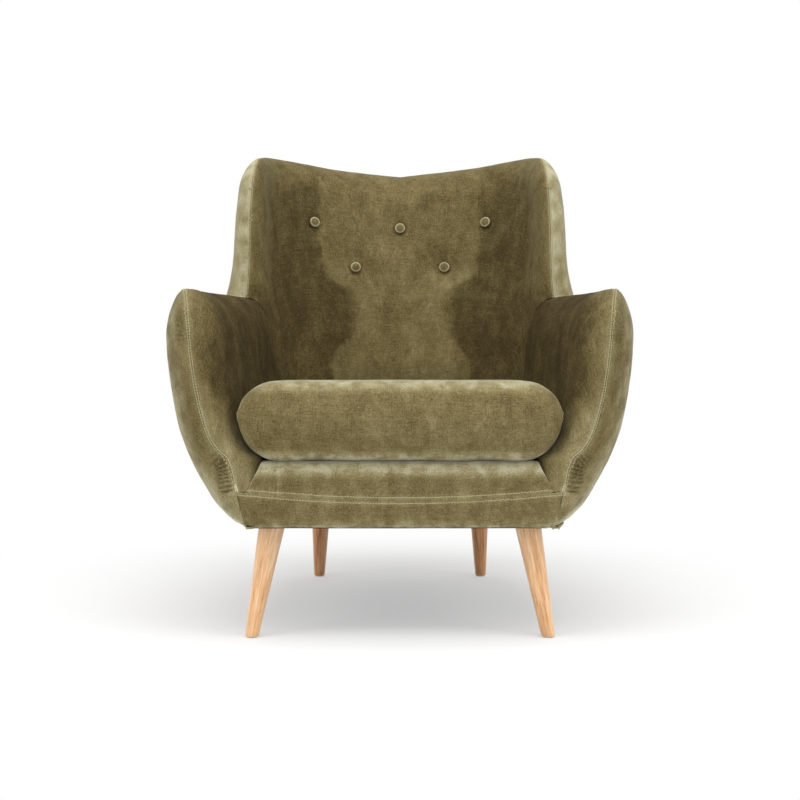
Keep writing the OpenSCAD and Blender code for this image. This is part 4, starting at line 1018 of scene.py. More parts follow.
# Seat cushion: a loose box of velvet over a foam core, with a crowned top, a rounded nose and a low gusset at
# each end. The cover is blown up by a cloth simulation, so that it is full and has the slack of cut cloth.
SEAT = DECK + 0.3
RIDGE_H = 74.0              # from its underside to its widest
RIDGE = SEAT + RIDGE_H
CUSHION_H, CUSHION_GAP, CUSHION_PITCH = 128.0, 3.0, 12.0
END_RUN_TOP, END_RUN_LOW = 66.0, 76.0       # how far in from its ends it rounds off
END_H, REAR_FLAT, CORNER_X, CORNER_SLOPE = 10.0, 127.0, 196.0, 1.5
LOW_Z = SEAT + 26           # the height that gives its rear edge its plan
HALF_WIDE = IN_W - 33       # the cut panel's, from which the ends' rounding is measured
FRONT_END, FRONT_BOW, NOSE, REAR_NOSE = -389.0, 22.0, 46.0, 16.0
FORM_POWER, END_POWER = 2.6, 2.35
FACE_IN, START_IN = 0.6, 4.5        # depths of the finished face, and of the blank that is blown up


def in_x(z, wide, rows):
    return wide - curve(rows, level(z))


def cushion_wall(y, z):
    """How far out the shell's inside face is."""
    e = curve(WING_EDGE, level(z))
    power = curve(INNER_POWER, level(z))
    rear = REAR_Y - curve(DROP_REAR_IN, level(np.minimum(z, LOW_Z)))
    at_front, at_wing = in_x(z, IN_W, DROP_IN_FRONT), in_x(z, WING_W, DROP_IN_BACK)
    arm = at_front + (at_wing - at_front) * ramp(np.maximum(0, y - FRONT_Y) / (e - FRONT_Y))
    back = at_wing * (1 - np.clip((y - e) / (rear - e), 0, 1)**power)**(1 / power)
    return np.where(y < e, arm, back)


def cushion_rear(x):
    """How far back the cushion goes."""
    z = np.float64(LOW_Z)
    e, power = curve(WING_EDGE, level(z)), curve(INNER_POWER, level(z))
    rear = REAR_Y - curve(DROP_REAR_IN, level(z))
    bent = e + (rear - e) * (1 - np.clip(x / in_x(z, WING_W, DROP_IN_BACK), 0, 1)**power)**(1 / power)
    return np.minimum(REAR_FLAT, bent - CUSHION_GAP)


CORNER_REAR = float(cushion_rear(CORNER_X))


def cushion_point(v, kind, s, top, d):
    """A point of the cushion's form at a share v of its half width, a place s round its side view and a depth
    d. kind is 0 on its rear edge, 1 on its top or underside and 2 on its nose."""
    full = CUSHION_H - RIDGE_H if top else RIDGE_H
    run = END_RUN_TOP if top else END_RUN_LOW
    t = np.clip((np.abs(v) * HALF_WIDE - (HALF_WIDE - run)) / run, 0, 1)
    fall = END_H / full + (1 - END_H / full) * (1 - t**END_POWER)**(1 / END_POWER)
    h = full * fall - d
    front = FRONT_END + FRONT_BOW * np.abs(v)**6 + d
    rear = cushion_rear(np.abs(v) * CORNER_X) - d
    rear_h = h - (CUSHION_PITCH * fall if top else 0)
    arc = 1 - (1 - s**FORM_POWER)**(1 / FORM_POWER)
    level_part = rear - REAR_NOSE + (front + NOSE - rear + REAR_NOSE) * s
    y = np.where(kind == 0, rear - REAR_NOSE * arc, np.where(kind == 2, front + NOSE * arc, level_part))
    rising = rear_h + (h - rear_h) * (1 - (1 - s)**2)
    high = np.where(kind == 0, rear_h * s, np.where(kind == 2, h * s, rising))
    z = RIDGE + (high if top else -high)
    ahead = np.minimum(y, CORNER_REAR)
    wide = np.minimum(cushion_wall(ahead, np.float64(RIDGE)) - CUSHION_GAP,
                      CORNER_X + CORNER_SLOPE * (CORNER_REAR - ahead))
    x = np.minimum(np.abs(v) * wide, cushion_wall(ahead, np.minimum(z, RIDGE)) - CUSHION_GAP) - np.abs(v) * d
    return np.stack([np.sign(v) * x, y, z], -1)


quarter = np.arcsin(np.linspace(0, 1, 13)) * 0.5 + np.linspace(0, math.pi / 2, 13) * 0.5
bend_s = np.sin(quarter)**(2 / FORM_POWER)
rear_s = np.concatenate([[0, 0.09, 0.18, 0.27, 0.36, 0.43, 0.52], bend_s[bend_s > 0.58]])
top_s = np.linspace(0, 1, 92)[1:]
nose_s = np.append(bend_s[1:-1][::-1], 0.0)
half_kinds = np.concatenate([np.zeros(len(rear_s)), np.ones(len(top_s)), np.full(len(nose_s), 2.0)])
half_s = np.concatenate([rear_s, top_s, nose_s])
turn = np.linspace(0, math.pi / 2, 18)
edge_v = (HALF_WIDE - END_RUN_LOW + END_RUN_LOW * np.sin(turn)) / HALF_WIDE
right_v = np.concatenate([np.linspace(0, edge_v[0], 40)[:-1], edge_v])
all_v = np.concatenate([-right_v[:0:-1], right_v])


def cushion_ring(d):
    """Columns from end to end of a closed loop: rear middle, over the top, down the nose, back underneath."""
    v = all_v[:, None]
    top = cushion_point(v, half_kinds, half_s, True, d)
    low = cushion_point(v, half_kinds, half_s, False, d)
    return np.concatenate([top, low[:, -2:0:-1]], 1)


HALF = len(half_s)  # a column's points over the top, from the rear's middle to the nose's
RIBS = 5            # the gussets' faces from top to bottom
form, start = cushion_ring(FACE_IN), cushion_ring(START_IN)
around = start.shape[1]


def end_rows(grid, column):
    """The gusset between the top and the bottom of an end column: rows of points from top to bottom."""
    top, low = grid[column, :HALF], grid[column, np.r_[0, np.arange(around - 1, HALF - 2, -1)]]
    share = np.linspace(0, 1, RIBS + 1)[None, :, None]
    return top[:, None] * (1 - share) + low[:, None] * share


def closed_cushion(grid):
    """One closed mesh of the loop and its two gussets, for the simulation, and the gussets' points in it."""
    n = len(all_v)
    index = np.arange(n * around).reshape(n, around)
    after = np.roll(index, -1, 1)
    verts = [grid.reshape(-1, 3)]
    faces = np.stack([index[:-1], after[:-1], after[1:], index[1:]], -1).reshape(-1, 4).tolist()
    count = n * around
    slots = {}
    for column, flip in ((0, False), (n - 1, True)):
        rows = end_rows(grid, column)
        inner = rows[1:-1, 1:-1]
        low = index[column, np.r_[0, np.arange(around - 1, HALF - 2, -1)]]
        place = np.empty((HALF, RIBS + 1), int)
        place[:, 0], place[:, -1] = index[column, :HALF], low
        place[0, :], place[-1, :] = index[column, 0], index[column, HALF - 1]
        place[1:-1, 1:-1] = count + np.arange(inner.shape[0] * inner.shape[1]).reshape(inner.shape[:2])
        verts.append(inner.reshape(-1, 3))
        count += inner.shape[0] * inner.shape[1]
        slots[column] = place
        for a in range(HALF - 1):
            for b in range(RIBS):
                face = [place[a, b], place[a, b + 1], place[a + 1, b + 1], place[a + 1, b]]
                face = [q for at, q in enumerate(face) if q != face[at - 1]]
                if len(set(face)) > 2:
                    faces.append(tuple(face if flip else face[::-1]))
    return np.concatenate(verts), [tuple(int(q) for q in f) for f in faces], slots


SIM_STEPS = 20
verts, faces, end_slots = closed_cushion(start)
mesh = bpy.data.meshes.new("cushion_blank")
mesh.from_pydata((verts / 1000).tolist(), [], faces)
blank = bpy.data.objects.new("cushion_blank", mesh)
scene.collection.objects.link(blank)
soft = blank.modifiers.new("cloth", "CLOTH")
soft.settings.quality = 5
soft.settings.mass = 0.35
soft.settings.tension_stiffness = soft.settings.compression_stiffness = 14
soft.settings.shear_stiffness = 6
soft.settings.bending_stiffness = 0.6
soft.settings.use_pressure = True
soft.settings.uniform_pressure_force = 4
soft.settings.shrink_min = -0.022
soft.settings.effector_weights.gravity = 0
soft.collision_settings.use_collision = False
for step in range(1, SIM_STEPS + 1):
    scene.frame_set(step)
shaped = blank.evaluated_get(bpy.context.evaluated_depsgraph_get()).to_mesh()
blown = np.empty(len(verts) * 3, np.float32)
shaped.vertices.foreach_get("co", blown)
blown = blown.reshape(-1, 3).astype(float) * 1000
scene.frame_set(1)
bpy.data.objects.remove(blank)

MOST, SUNK = 4.5, 1.0       # mm that the simulation may move a point in any direction, and inward
KEPT_FROM, KEPT_OVER = 50.0, 55.0       # behind that y the cover goes over to its worked-out form
DECK_CLEAR, WALL_CLEAR = 0.4, 1.6
NOSE_SAG = 5.0              # how far the nose's lower edge hangs in its middle
exact, _, _ = closed_cushion(form)
outward = (exact - verts) / np.maximum(np.linalg.norm(exact - verts, axis=1, keepdims=True), 1e-9)
move = blown - verts
move = move + outward * np.maximum(0, -SUNK - (move * outward).sum(1, keepdims=True))
far = np.linalg.norm(move, axis=1, keepdims=True)
settled = verts + move * np.minimum(1, MOST / np.maximum(far, 1e-9))
keep = ramp((verts[:, 1] - KEPT_FROM) / KEPT_OVER)[:, None]
settled = settled * (1 - keep) + exact * keep
settled = settled + 0.3 * (exact - verts) * (1 - keep)
ahead = np.clip((-374 - settled[:, 1]) / 14, 0, 1)
low_part = ramp((RIDGE - 20 - settled[:, 2]) / 30)
across = np.clip(1 - (settled[:, 0] / 190)**2, 0, 1)
settled[:, 2] = np.maximum(settled[:, 2], SEAT + DECK_CLEAR)
settled[:, 2] -= NOSE_SAG * ramp(ahead) * low_part * across
room = cushion_wall(np.minimum(settled[:, 1], CORNER_REAR), np.clip(settled[:, 2], SEAT + 5, RIDGE))
settled[:, 0] = np.sign(settled[:, 0]) * np.minimum(np.abs(settled[:, 0]), room - WALL_CLEAR)
loop = settled[:len(all_v) * around].reshape(len(all_v), around, 3)

round_it = np.concatenate([[0], np.cumsum(np.linalg.norm(np.diff(loop[len(all_v) // 2], axis=0), axis=1))])
across_it = np.concatenate([[0], np.cumsum(np.linalg.norm(np.diff(loop[:, HALF - 20], axis=0), axis=1))])


def cushion_piece(name, points, flat, nap_and_painted_light, flip, node):
    made = grid_mesh(name, points, flat, nap_and_painted_light, CUSHION_VELVET, flip)
    thicken(made, CLOTH)
    finer = made.modifiers.new("finer", "SUBSURF")
    finer.levels = finer.render_levels = 1
    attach(made, "seat_cushion")
    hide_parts(node)


BAND_ROWS = 5           # rows of the loop that belong to the rear band, on each side of its zip
rows = np.arange(BAND_ROWS, around - BAND_ROWS + 1)
cover_points = loop[:, rows]
end_gap = np.minimum(across_it, across_it[-1] - across_it)[:, None]
sew = -1.5 * bell(end_gap, 2.2) - 0.8 * bell(end_gap, 12)
sew = sew + 0.7 * lumps(cover_points, 46, 71) + 0.4 * lumps(cover_points, 15, 72)
cover_points = cover_points + normals_of(cover_points) * sew[..., None]
# Painted highlights: the crowned top and the lower curve of the nose are painted paler, mottled, and a pale
# line runs along each end where the cover turns away.
top_face = ramp((cover_points[..., 2] - (SEAT + CUSHION_H - 21)) / 14)
low_face = ramp((SEAT + 24 - cover_points[..., 2]) / 18)
mottling = ramp(0.5 + 1.5 * lumps(cover_points, 18, 74) + 0.9 * lumps(cover_points, 8, 75))
cover_nap_and_painted_light = (-0.02 + (0.26 + 0.36 * mottling) * top_face + (0.36 + 0.60 * mottling) * low_face
             + 0.5 * bell(end_gap - 3, 4) + 0.10 * lumps(cover_points, 40, 73))
flat = np.stack(np.broadcast_arrays(across_it[:, None], round_it[rows][None, :]), -1)
cushion_piece("cushion_cover_panel", cover_points, flat, cover_nap_and_painted_light, False, "cushion_cover")

GUSSET_LONG, GUSSET_WIDE = 480, 22      # as cut
GUSSET_IN = 1.5             # how far it lies inside the welt
for column, side, out in ((0, "left", -1), (len(all_v) - 1, "right", 1)):
    points = settled[end_slots[column]][BAND_ROWS + 1:]
    points = points - np.array([out * GUSSET_IN, 0, 0])
    flat = np.stack(np.broadcast_arrays(np.linspace(0, GUSSET_LONG, len(points))[:, None],
                                        np.linspace(0, GUSSET_WIDE, RIBS + 1)[None, :]), -1)
    nap_and_painted_light = 0.05 + 0.15 * lumps(points, 18, 75)
    cushion_piece(f"cushion_gusset_{side}", points, flat, nap_and_painted_light, column == 0, f"cushion_end_{side}")

for part, rows in (("upper", np.arange(1, BAND_ROWS)), ("lower", np.arange(around - BAND_ROWS + 1, around))):
    points = loop[2:-2, rows] + np.array([0, -0.5, 0])
    flat = np.stack(np.broadcast_arrays(across_it[2:-2, None], round_it[rows][None, :]), -1)
    cushion_piece(f"cushion_rear_band_{part}", points, flat, 0.05 + 0.12 * lumps(points, 30, 76), False,
                  "cushion_back_band")

WELT_R, WELT_STEP, WELT_SIDES = 1.7, 2.5, 8
for column, side, out in ((0, "left", -1), (len(all_v) - 1, "right", 1)):
    path = even(loop[column, BAND_ROWS + 1:around - BAND_ROWS], WELT_STEP)
    ahead_of = np.gradient(path, axis=0)
    ahead_of /= np.linalg.norm(ahead_of, axis=1, keepdims=True)
    side_way = np.cross(ahead_of, [out, 0, 0])
    side_way /= np.maximum(np.linalg.norm(side_way, axis=1, keepdims=True), 1e-9)
    over = np.cross(ahead_of, side_way)
    a = np.linspace(0, 2 * math.pi, WELT_SIDES + 1)
    swell = 1 + 0.14 * lumps(path, 7, 77)[:, None, None]
    points = path[:, None] + WELT_R * swell * (side_way[:, None] * np.cos(a)[None, :, None]
                                               + over[:, None] * np.sin(a)[None, :, None])
    flat = np.stack(np.broadcast_arrays(np.arange(len(path))[:, None] * WELT_STEP, a[None, :] * WELT_R), -1)
    # The welts are painted pale all over, as a highlight along the cushion's ends.
    made = grid_mesh(f"cushion_welt_{side}", points, flat, np.full(points.shape[:2], 0.62), CUSHION_VELVET)
    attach(made, "seat_cushion")


# Foam: blocks cut from polyurethane foam and glued over the frame and the springs, thickest in the back and
# the deck, with a firmer one inside the cushion. Each keeps a little clear of the velvet drawn over it.
FOAM_UNDER = 6.0        # from the velvet's face to the foam
CUSHION_FOAM_UNDER = 8.0
ARM_FOAM, BACK_FOAM = 29.3, 46.3        # from the velvet's face to the foam's rear
RAIL_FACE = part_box("front_rail")[0].y * 1000 - 1.3
PAD_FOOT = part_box("front_band_pad")[0].z * 1000 + 1
PAD_ROWS = 12
DECK_FRONT = FRONT_Y + BAND_BACK + SEAM_GAP
NARROW = DECK + 4       # the height at which the deck is cut to the walls


def foam(name, cut, clean):
    """Cut foam with open cells, between a yellowed colour and a clean one."""
    made, tree, shader = new_material(name, 0.92, 0.2)
    here = join(tree, "TexCoord").outputs["Object"]
    cell = join(tree, "TexVoronoi", {"Vector": here, "Scale": 640.0}).outputs["Distance"]
    patch = speckle(tree, here, 11, detail=3.0)
    tone = sum_of(tree, (cell, 0.55, 0.05), (patch, 0.8, -0.15))
    tree.links.new(ramp_of(tree, tone, [(0.15, cut), (0.75, clean)]), shader.inputs["Base Color"])
    bump(tree, shader, cell, 0.6, 0.0007)
    return made


YELLOW_FOAM = foam("upholstery_foam", (0.55, 0.45, 0.22, 1), (0.84, 0.78, 0.55, 1))
CREAM_FOAM = foam("cushion_foam_cut", (0.60, 0.52, 0.30, 1), (0.87, 0.82, 0.62, 1))


def foam_block(name, near, far, body, node, material):
    """A closed block between its face and its rear, two grids of points with the same rows and columns."""
    face, index = squares(*near.shape[:2])
    border = np.concatenate([index[:, 0], index[-1, 1:], index[-2::-1, -1], index[0, -2:0:-1]])
    after, behind = np.roll(border, -1), index.size
    faces = np.concatenate([face, face[:, ::-1] + behind,
                            np.stack([after, border, border + behind, after + behind], -1)])
    near = near + 0.5 * lumps(near, 30, 81)[..., None] * normals_of(near)
    spots = np.concatenate([near.reshape(-1, 3), far.reshape(-1, 3)])
    middle = spots.mean(0)
    a, b, c = (spots[faces[:, k]] - middle for k in range(3))
    if (a * np.cross(b, c)).sum() < 0:
        faces = faces[:, ::-1]
    made = put_in(name, spots, faces.tolist(), material)
    joined = made.modifiers.new("joined", "WELD")
    joined.merge_threshold = 0.00005
    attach(made, body)
    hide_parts(node)


def eased(count):
    """Shares from 0 to 1, close together at both ends."""
    return 0.5 - 0.5 * np.cos(np.linspace(0, math.pi, count))


u, v = (0.004 + 0.996 * eased(56))[:, None], (0.998 * eased(60))[None, :]
near = back_place(u, v, FOAM_UNDER)
run, z = back_spot(u, v)
far = skin(run, z, 1, ARM_FOAM + (BACK_FOAM - ARM_FOAM) * ramp((run - 440) / 120))
near, far = (np.concatenate([half, mirrored(half[-2::-1])]) for half in (near, far))
foam_block("back_foam_block", near, far, "chair", "back_foam", YELLOW_FOAM)

u, v = 0.992 * eased(40)[:, None], 0.998 * eased(36)[None, :]
for side, sign in (("left", 1), ("right", -1)):
    near, far = (inside_arm_place(u, v, depth) * np.array([sign, 1, 1]) for depth in (FOAM_UNDER, ARM_FOAM))
    foam_block(f"arm_foam_block_{side}", near, far, "chair", f"arm_foam_{side}",
               YELLOW_FOAM)

across = np.linspace(-1, 1, 60)[:, None] * (band_half_x(np.float64(NARROW)) - 2)
arc = np.linspace(0, math.pi / 2, 9)
roll_r = BAND_ROLL - FOAM_UNDER
upright = np.linspace(PAD_FOOT, DECK - BAND_ROLL, PAD_ROWS)[:-1]
face_z = np.concatenate([upright, DECK - BAND_ROLL + roll_r * np.sin(arc), [DECK - FOAM_UNDER]])
face_line = np.concatenate([face_y(upright) + FOAM_UNDER, FRONT_Y + BAND_ROLL - roll_r * np.cos(arc),
                            [DECK_FRONT - 3]])
half_rows = len(face_z) // 2
rear_z = np.append(np.linspace(PAD_FOOT, FOAM_BASE + 1, half_rows + 1), np.full(half_rows, FOAM_BASE + 1))
rear_line = np.append(np.full(half_rows, RAIL_FACE), np.linspace(RAIL_FACE, DECK_FRONT - 3, half_rows + 1))
near, far = (np.stack(np.broadcast_arrays(across, y[None, :], z[None, :]), -1)
             for y, z in ((face_line, face_z), (rear_line, rear_z)))
foam_block("front_band_foam", near, far, "chair", "front_band_pad", YELLOW_FOAM)


def level_grid(side, rear, front, inset, columns, rows):
    """Places over a level layer. side is its left edge, from front to wing, and rear is its back edge."""
    u = np.sin(np.linspace(-1, 1, columns) * math.pi / 2)[:, None]
    v = np.linspace(0, 1, rows)[None, :]
    behind = np.interp(-np.abs(u), -rear[:, 0] / rear[0, 0], rear[:, 1]) - inset
    y = front + inset + (behind - front - inset) * v
    x = u * (np.interp(y, side[:, 1], -side[:, 0]) - inset)
    return x, y


deck_side = inner_at(np.linspace(FRONT_ROUND, EDGE_RUN, 90), NARROW)
deck_rear = inner_at(np.linspace(EDGE_RUN, BACK_RUN, 200), NARROW)
x, y = level_grid(deck_side, deck_rear, DECK_FRONT, 2.0, 60, 44)
near, far = (np.stack([x, y, np.full_like(x, z)], -1) for z in (DECK - 5, FOAM_BASE + 0.4))
foam_block("deck_foam_block", near, far, "chair", "deck_foam", YELLOW_FOAM)

v = all_v[:, None]
near, far = (cushion_point(v, half_kinds, half_s, top, CUSHION_FOAM_UNDER) for top in (True, False))
foam_block("cushion_foam_block", near, far, "seat_cushion", "cushion_foam", CREAM_FOAM)


# Deck cover, dust cover and hessian: flat cloths. An olive lining covers the deck under the cushion, a black
# non-woven cloth closes the base round the legs, and coarse hessian lies between the springs and the foam.
def woven(name, thread, dark, light, fuzz=0.3, rough=0.9):
    """Plain weave: threads of that width in metres, crossing over and under each other."""
    made, tree, shader = new_material(name, rough, 0.15)
    place = join(tree, "TexCoord").outputs["UV"]
    apart = join(tree, "SeparateXYZ", {0: place})
    waves = []
    for axis in ("X", "Y"):
        turned = join(tree, "Math", {0: apart.outputs[axis], 1: math.pi / thread}, operation="MULTIPLY")
        wave = join(tree, "Math", {0: turned.outputs[0]}, operation="SINE").outputs[0]
        waves.append(join(tree, "Math", {0: wave}, operation="ABSOLUTE").outputs[0])
    dome = join(tree, "Math", {0: waves[0], 1: waves[1]}, operation="MULTIPLY").outputs[0]
    over = join(tree, "TexChecker", {"Vector": place, "Scale": 1 / thread}).outputs["Fac"]
    slub = speckle(tree, place, 1, (30, 300, 1), 2.0)
    mottling = speckle(tree, place, 22, detail=3.0)
    tone = sum_of(tree, (dome, 0.45, 0.05), (over, 0.10, 0), (slub, fuzz, 0), (mottling, 0.3, -0.15))
    tree.links.new(ramp_of(tree, tone, [(0.1, dark), (0.8, light)]), shader.inputs["Base Color"])
    bump(tree, shader, sum_of(tree, (dome, 0.8, 0), (over, 0.2, 0)), 0.7, thread * 0.4)
    return made


def cloth_sheet(name, points, flat, thick, material, body, node):
    """A thin cloth over a grid of points, with its flat place in millimetres."""
    made = grid_mesh(name, points, flat, np.zeros(points.shape[:2]), material)
    thicken(made, thick)
    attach(made, body)
    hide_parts(node)


LINING = woven("deck_lining", 0.0009, (0.035, 0.030, 0.012, 1), (0.19, 0.165, 0.085, 1))
HESSIAN = woven("hessian_weave", 0.0021, (0.10, 0.06, 0.022, 1), (0.52, 0.38, 0.20, 1), 0.4)
for name, top, thick, material, node, slot, rests, loose in (
        ("deck_lining_cloth", DECK - 0.5, 1.0, LINING, "deck_cover", "deck_cloth", "deck_foam", 0.35),
        ("spring_hessian_cloth", FOAM_BASE - 0.5, 0.5, HESSIAN, "spring_hessian", "hessian", "seat_springs",
         0.12)):
    x, y = level_grid(deck_side, deck_rear, DECK_FRONT, 0.6, 90, 74)
    points = np.stack([x, y, np.full_like(x, top)], -1)
    edge = np.minimum(np.minimum(x - x[:1], x[-1:] - x), y[:, -1:] - y)
    slack = 0.8 * lumps(points, 60, 83) + np.cos(x / 5) * bell(y - DECK_FRONT, 16) - bell(edge, 4)
    points[..., 2] += loose * slack
    cloth_sheet(name, points, np.stack([x, y], -1), thick, material, "chair", node)


def non_woven():
    made, tree, shader = new_material("dust_cloth", 0.85, 0.2)
    place = join(tree, "TexCoord").outputs["UV"]
    felt = speckle(tree, place, 900, detail=3.0, twist=1.2)
    dots = join(tree, "TexVoronoi", {"Vector": place, "Scale": 700.0}).outputs["Distance"]
    tone = sum_of(tree, (felt, 0.7, 0), (dots, 0.4, 0))
    tree.links.new(ramp_of(tree, tone, [(0.2, (0.008, 0.008, 0.009, 1)), (0.8, (0.05, 0.05, 0.052, 1))]),
                   shader.inputs["Base Color"])
    bump(tree, shader, dots, 0.5, 0.0003)
    return made


# The middle of each leg at the base.
LEG_TOPS = [(-214.0, -290.0), (214.0, -290.0), (-163.0, 204.0), (163.0, 204.0)]
LEG_HOLE = 25.0         # the radius of the cloth's hole round each leg
DUST_INSET, DUST_THICK = 4.0, 0.5
dust_side = outer_at(np.linspace(8, EDGE_RUN, 120), UNDER)
dust_rear = outer_at(np.linspace(EDGE_RUN, BACK_RUN, 200), UNDER)
dust_front = float(face_y(UNDER))
x, y = level_grid(dust_side, dust_rear, dust_front, DUST_INSET, 130, 130)
points = np.stack([x, y, np.full_like(x, UNDER - 1.0)], -1)
points[..., 2] -= 0.35 + 0.3 * lumps(points, 50, 84)
outside = np.ones(x.shape, bool)
for at in LEG_TOPS:
    away = points[..., :2] - at
    far = np.linalg.norm(away, axis=-1)
    inside = far < LEG_HOLE
    outside &= ~inside
    points[inside, :2] = at + away[inside] / np.maximum(far[inside], 1e-6)[:, None] * LEG_HOLE
dust = grid_mesh("dust_cloth_panel", points, np.stack([x, y], -1), np.zeros(x.shape), non_woven())
in_holes = [p.index for p in dust.data.polygons if not any(outside.ravel()[v] for v in p.vertices)]
cut = bmesh.new()
cut.from_mesh(dust.data)
cut.faces.ensure_lookup_table()
bmesh.ops.delete(cut, geom=[cut.faces[k] for k in in_holes], context="FACES")
cut.to_mesh(dust.data)
cut.free()
thicken(dust, DUST_THICK)
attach(dust, "chair")
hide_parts("dust_cover")


# Webbing: three straps of elastic webbing behind the back's foam, woven with rubber threads, stretched and
# stapled to the rails above and below.
STRAP_W, STRAP_T, STRAP_COLUMNS = 40.0, 1.5, 17
STRAP_AT = [-60.0, 0.0, 60.0]
STRAP_DEEP = 49.2       # from the inside face's curve back to the straps
strap_low, strap_high = (1000 * corner.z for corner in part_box("back_webbing"))
WEBBING = woven("elastic_webbing", 0.0016, (0.09, 0.055, 0.02, 1), (0.46, 0.34, 0.17, 1), 0.35)


def strap_y(at, z):
    """Where the straps run, on the rear of the back's foam."""
    x = max(0, abs(at) - STRAP_W / 2)
    edge, power = curve(WING_EDGE, level(z)), curve(INNER_POWER, level(z))
    wide = WING_W - curve(DROP_IN_BACK, level(z)) + STRAP_DEEP
    rear = REAR_Y - curve(DROP_REAR_IN, level(z)) + STRAP_DEEP
    return edge + (rear - edge) * (1 - (x / wide)**power)**(1 / power)


for number, at in enumerate(STRAP_AT, 1):
    z = np.linspace(strap_low + 0.5, strap_high - 0.5, 120)[None, :]
    x = np.linspace(-STRAP_W / 2, STRAP_W / 2, STRAP_COLUMNS)[:, None]
    bow = 0.12 * np.cos(x / 2.4) * (1 + 0 * z)
    knots = np.linspace(strap_low, strap_high, 13)
    points = np.stack([at + x + 0 * z, np.interp(z, knots, strap_y(at, knots)) + 0.2 + bow, z + 0 * x], -1)
    flat = np.stack(np.broadcast_arrays(x + at, z), -1)
    cloth_sheet(f"webbing_strap_{number}", points, flat, STRAP_T - 0.5, WEBBING, "chair", "back_webbing")


# The frame: sawn beech, glued and screwed, with the grain along each piece. It shows fine dark flecks, faint
# growth bands and the marks of the saw.
def beech(axis):
    """Beech with its grain along that axis."""
    made, tree, shader = new_material(f"beech_along_{axis}", 0.72, 0.3)
    here = join(tree, "TexCoord").outputs["Object"]
    lay = {"x": (0.07, 1, 1), "y": (1, 0.07, 1), "z": (1, 1, 0.07)}[axis]
    bands = speckle(tree, here, 46, lay, 4.0, 0.55, 0.6)
    flecks = speckle(tree, here, 620, [s if s == 1 else 0.16 for s in lay], 1.0)
    dash = join(tree, "Math", {0: flecks, 1: 0.34}, operation="LESS_THAN").outputs[0]
    saw = speckle(tree, here, 260, [0.02 if s == 1 else 1 for s in lay], 1.0)
    tone = sum_of(tree, (bands, 0.9, 0), (dash, -0.20, 0), (saw, 0.12, -0.06))
    tree.links.new(ramp_of(tree, tone, [(0.15, (0.30, 0.155, 0.065, 1)), (0.45, (0.50, 0.31, 0.155, 1)),
                                        (0.7, (0.66, 0.46, 0.27, 1))]), shader.inputs["Base Color"])
    bump(tree, shader, sum_of(tree, (saw, 0.7, 0), (bands, 0.4, 0)), 0.5, 0.0005)
    return made


def finish(material, *nodes):
    """Gives pieces of the construction their material."""
    for node in nodes:
        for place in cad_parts[node].material_slots:
            place.material = material


def left_and_right(*parts):
    return [f"{part}_{side}" for part in parts for side in ("left", "right")]


finish(beech("x"), "front_rail", "rear_rail", "back_top_rail", "back_mid_rail", "back_low_rail", "leg_blocks")
finish(beech("y"), *left_and_right("side_rail", "arm_top_rail", "rear_corner_rail"))
finish(beech("z"), *left_and_right("arm_front_post", "arm_rear_block", "wing_board", "back_post"))


# Springs and steel: sinuous springs of oiled wire hooked into clips on the rails, the buttons' plates behind
# the foam, and the zinc-plated plates, bolts and screws that carry the legs.
def metal(name, dull, bright, rough, grain, mottled):
    """A metal with fine lines stretched by grain, patches as strong as mottled, and stains."""
    made, tree, shader = new_material(name, rough, 0.5, 1.0)
    here = join(tree, "TexCoord").outputs["Object"]
    drawn_line = speckle(tree, here, 700, grain, 2.0)
    patch = join(tree, "TexVoronoi", {"Vector": here, "Scale": 260.0}).outputs["Color"]
    patch = join(tree, "RGBToBW", {0: patch}).outputs[0]
    stain = speckle(tree, here, 60, detail=4.0)
    tone = sum_of(tree, (drawn_line, 0.35, 0), (patch, mottled, 0), (stain, 0.6, 0))
    tree.links.new(ramp_of(tree, tone, [(0.25, dull), (0.85, bright)]), shader.inputs["Base Color"])
    spread = join(tree, "Math", {0: stain, 1: 0.3, 2: rough - 0.12}, operation="MULTIPLY_ADD").outputs[0]
    tree.links.new(spread, shader.inputs["Roughness"])
    bump(tree, shader, sum_of(tree, (drawn_line, 0.6, 0), (stain, 0.4, 0)), 0.25, 0.0002)
    return made


finish(metal("oiled_wire", (0.06, 0.062, 0.068, 1), (0.36, 0.37, 0.39, 1), 0.38, (1, 1, 1), 0.05),
       "seat_springs", "spring_clips")
finish(metal("zinc_plating", (0.38, 0.39, 0.40, 1), (0.70, 0.71, 0.71, 1), 0.34, (1, 1, 0.2), 0.35),
       "button_plates", "leg_bolts", "leg_plates", "plate_screws")


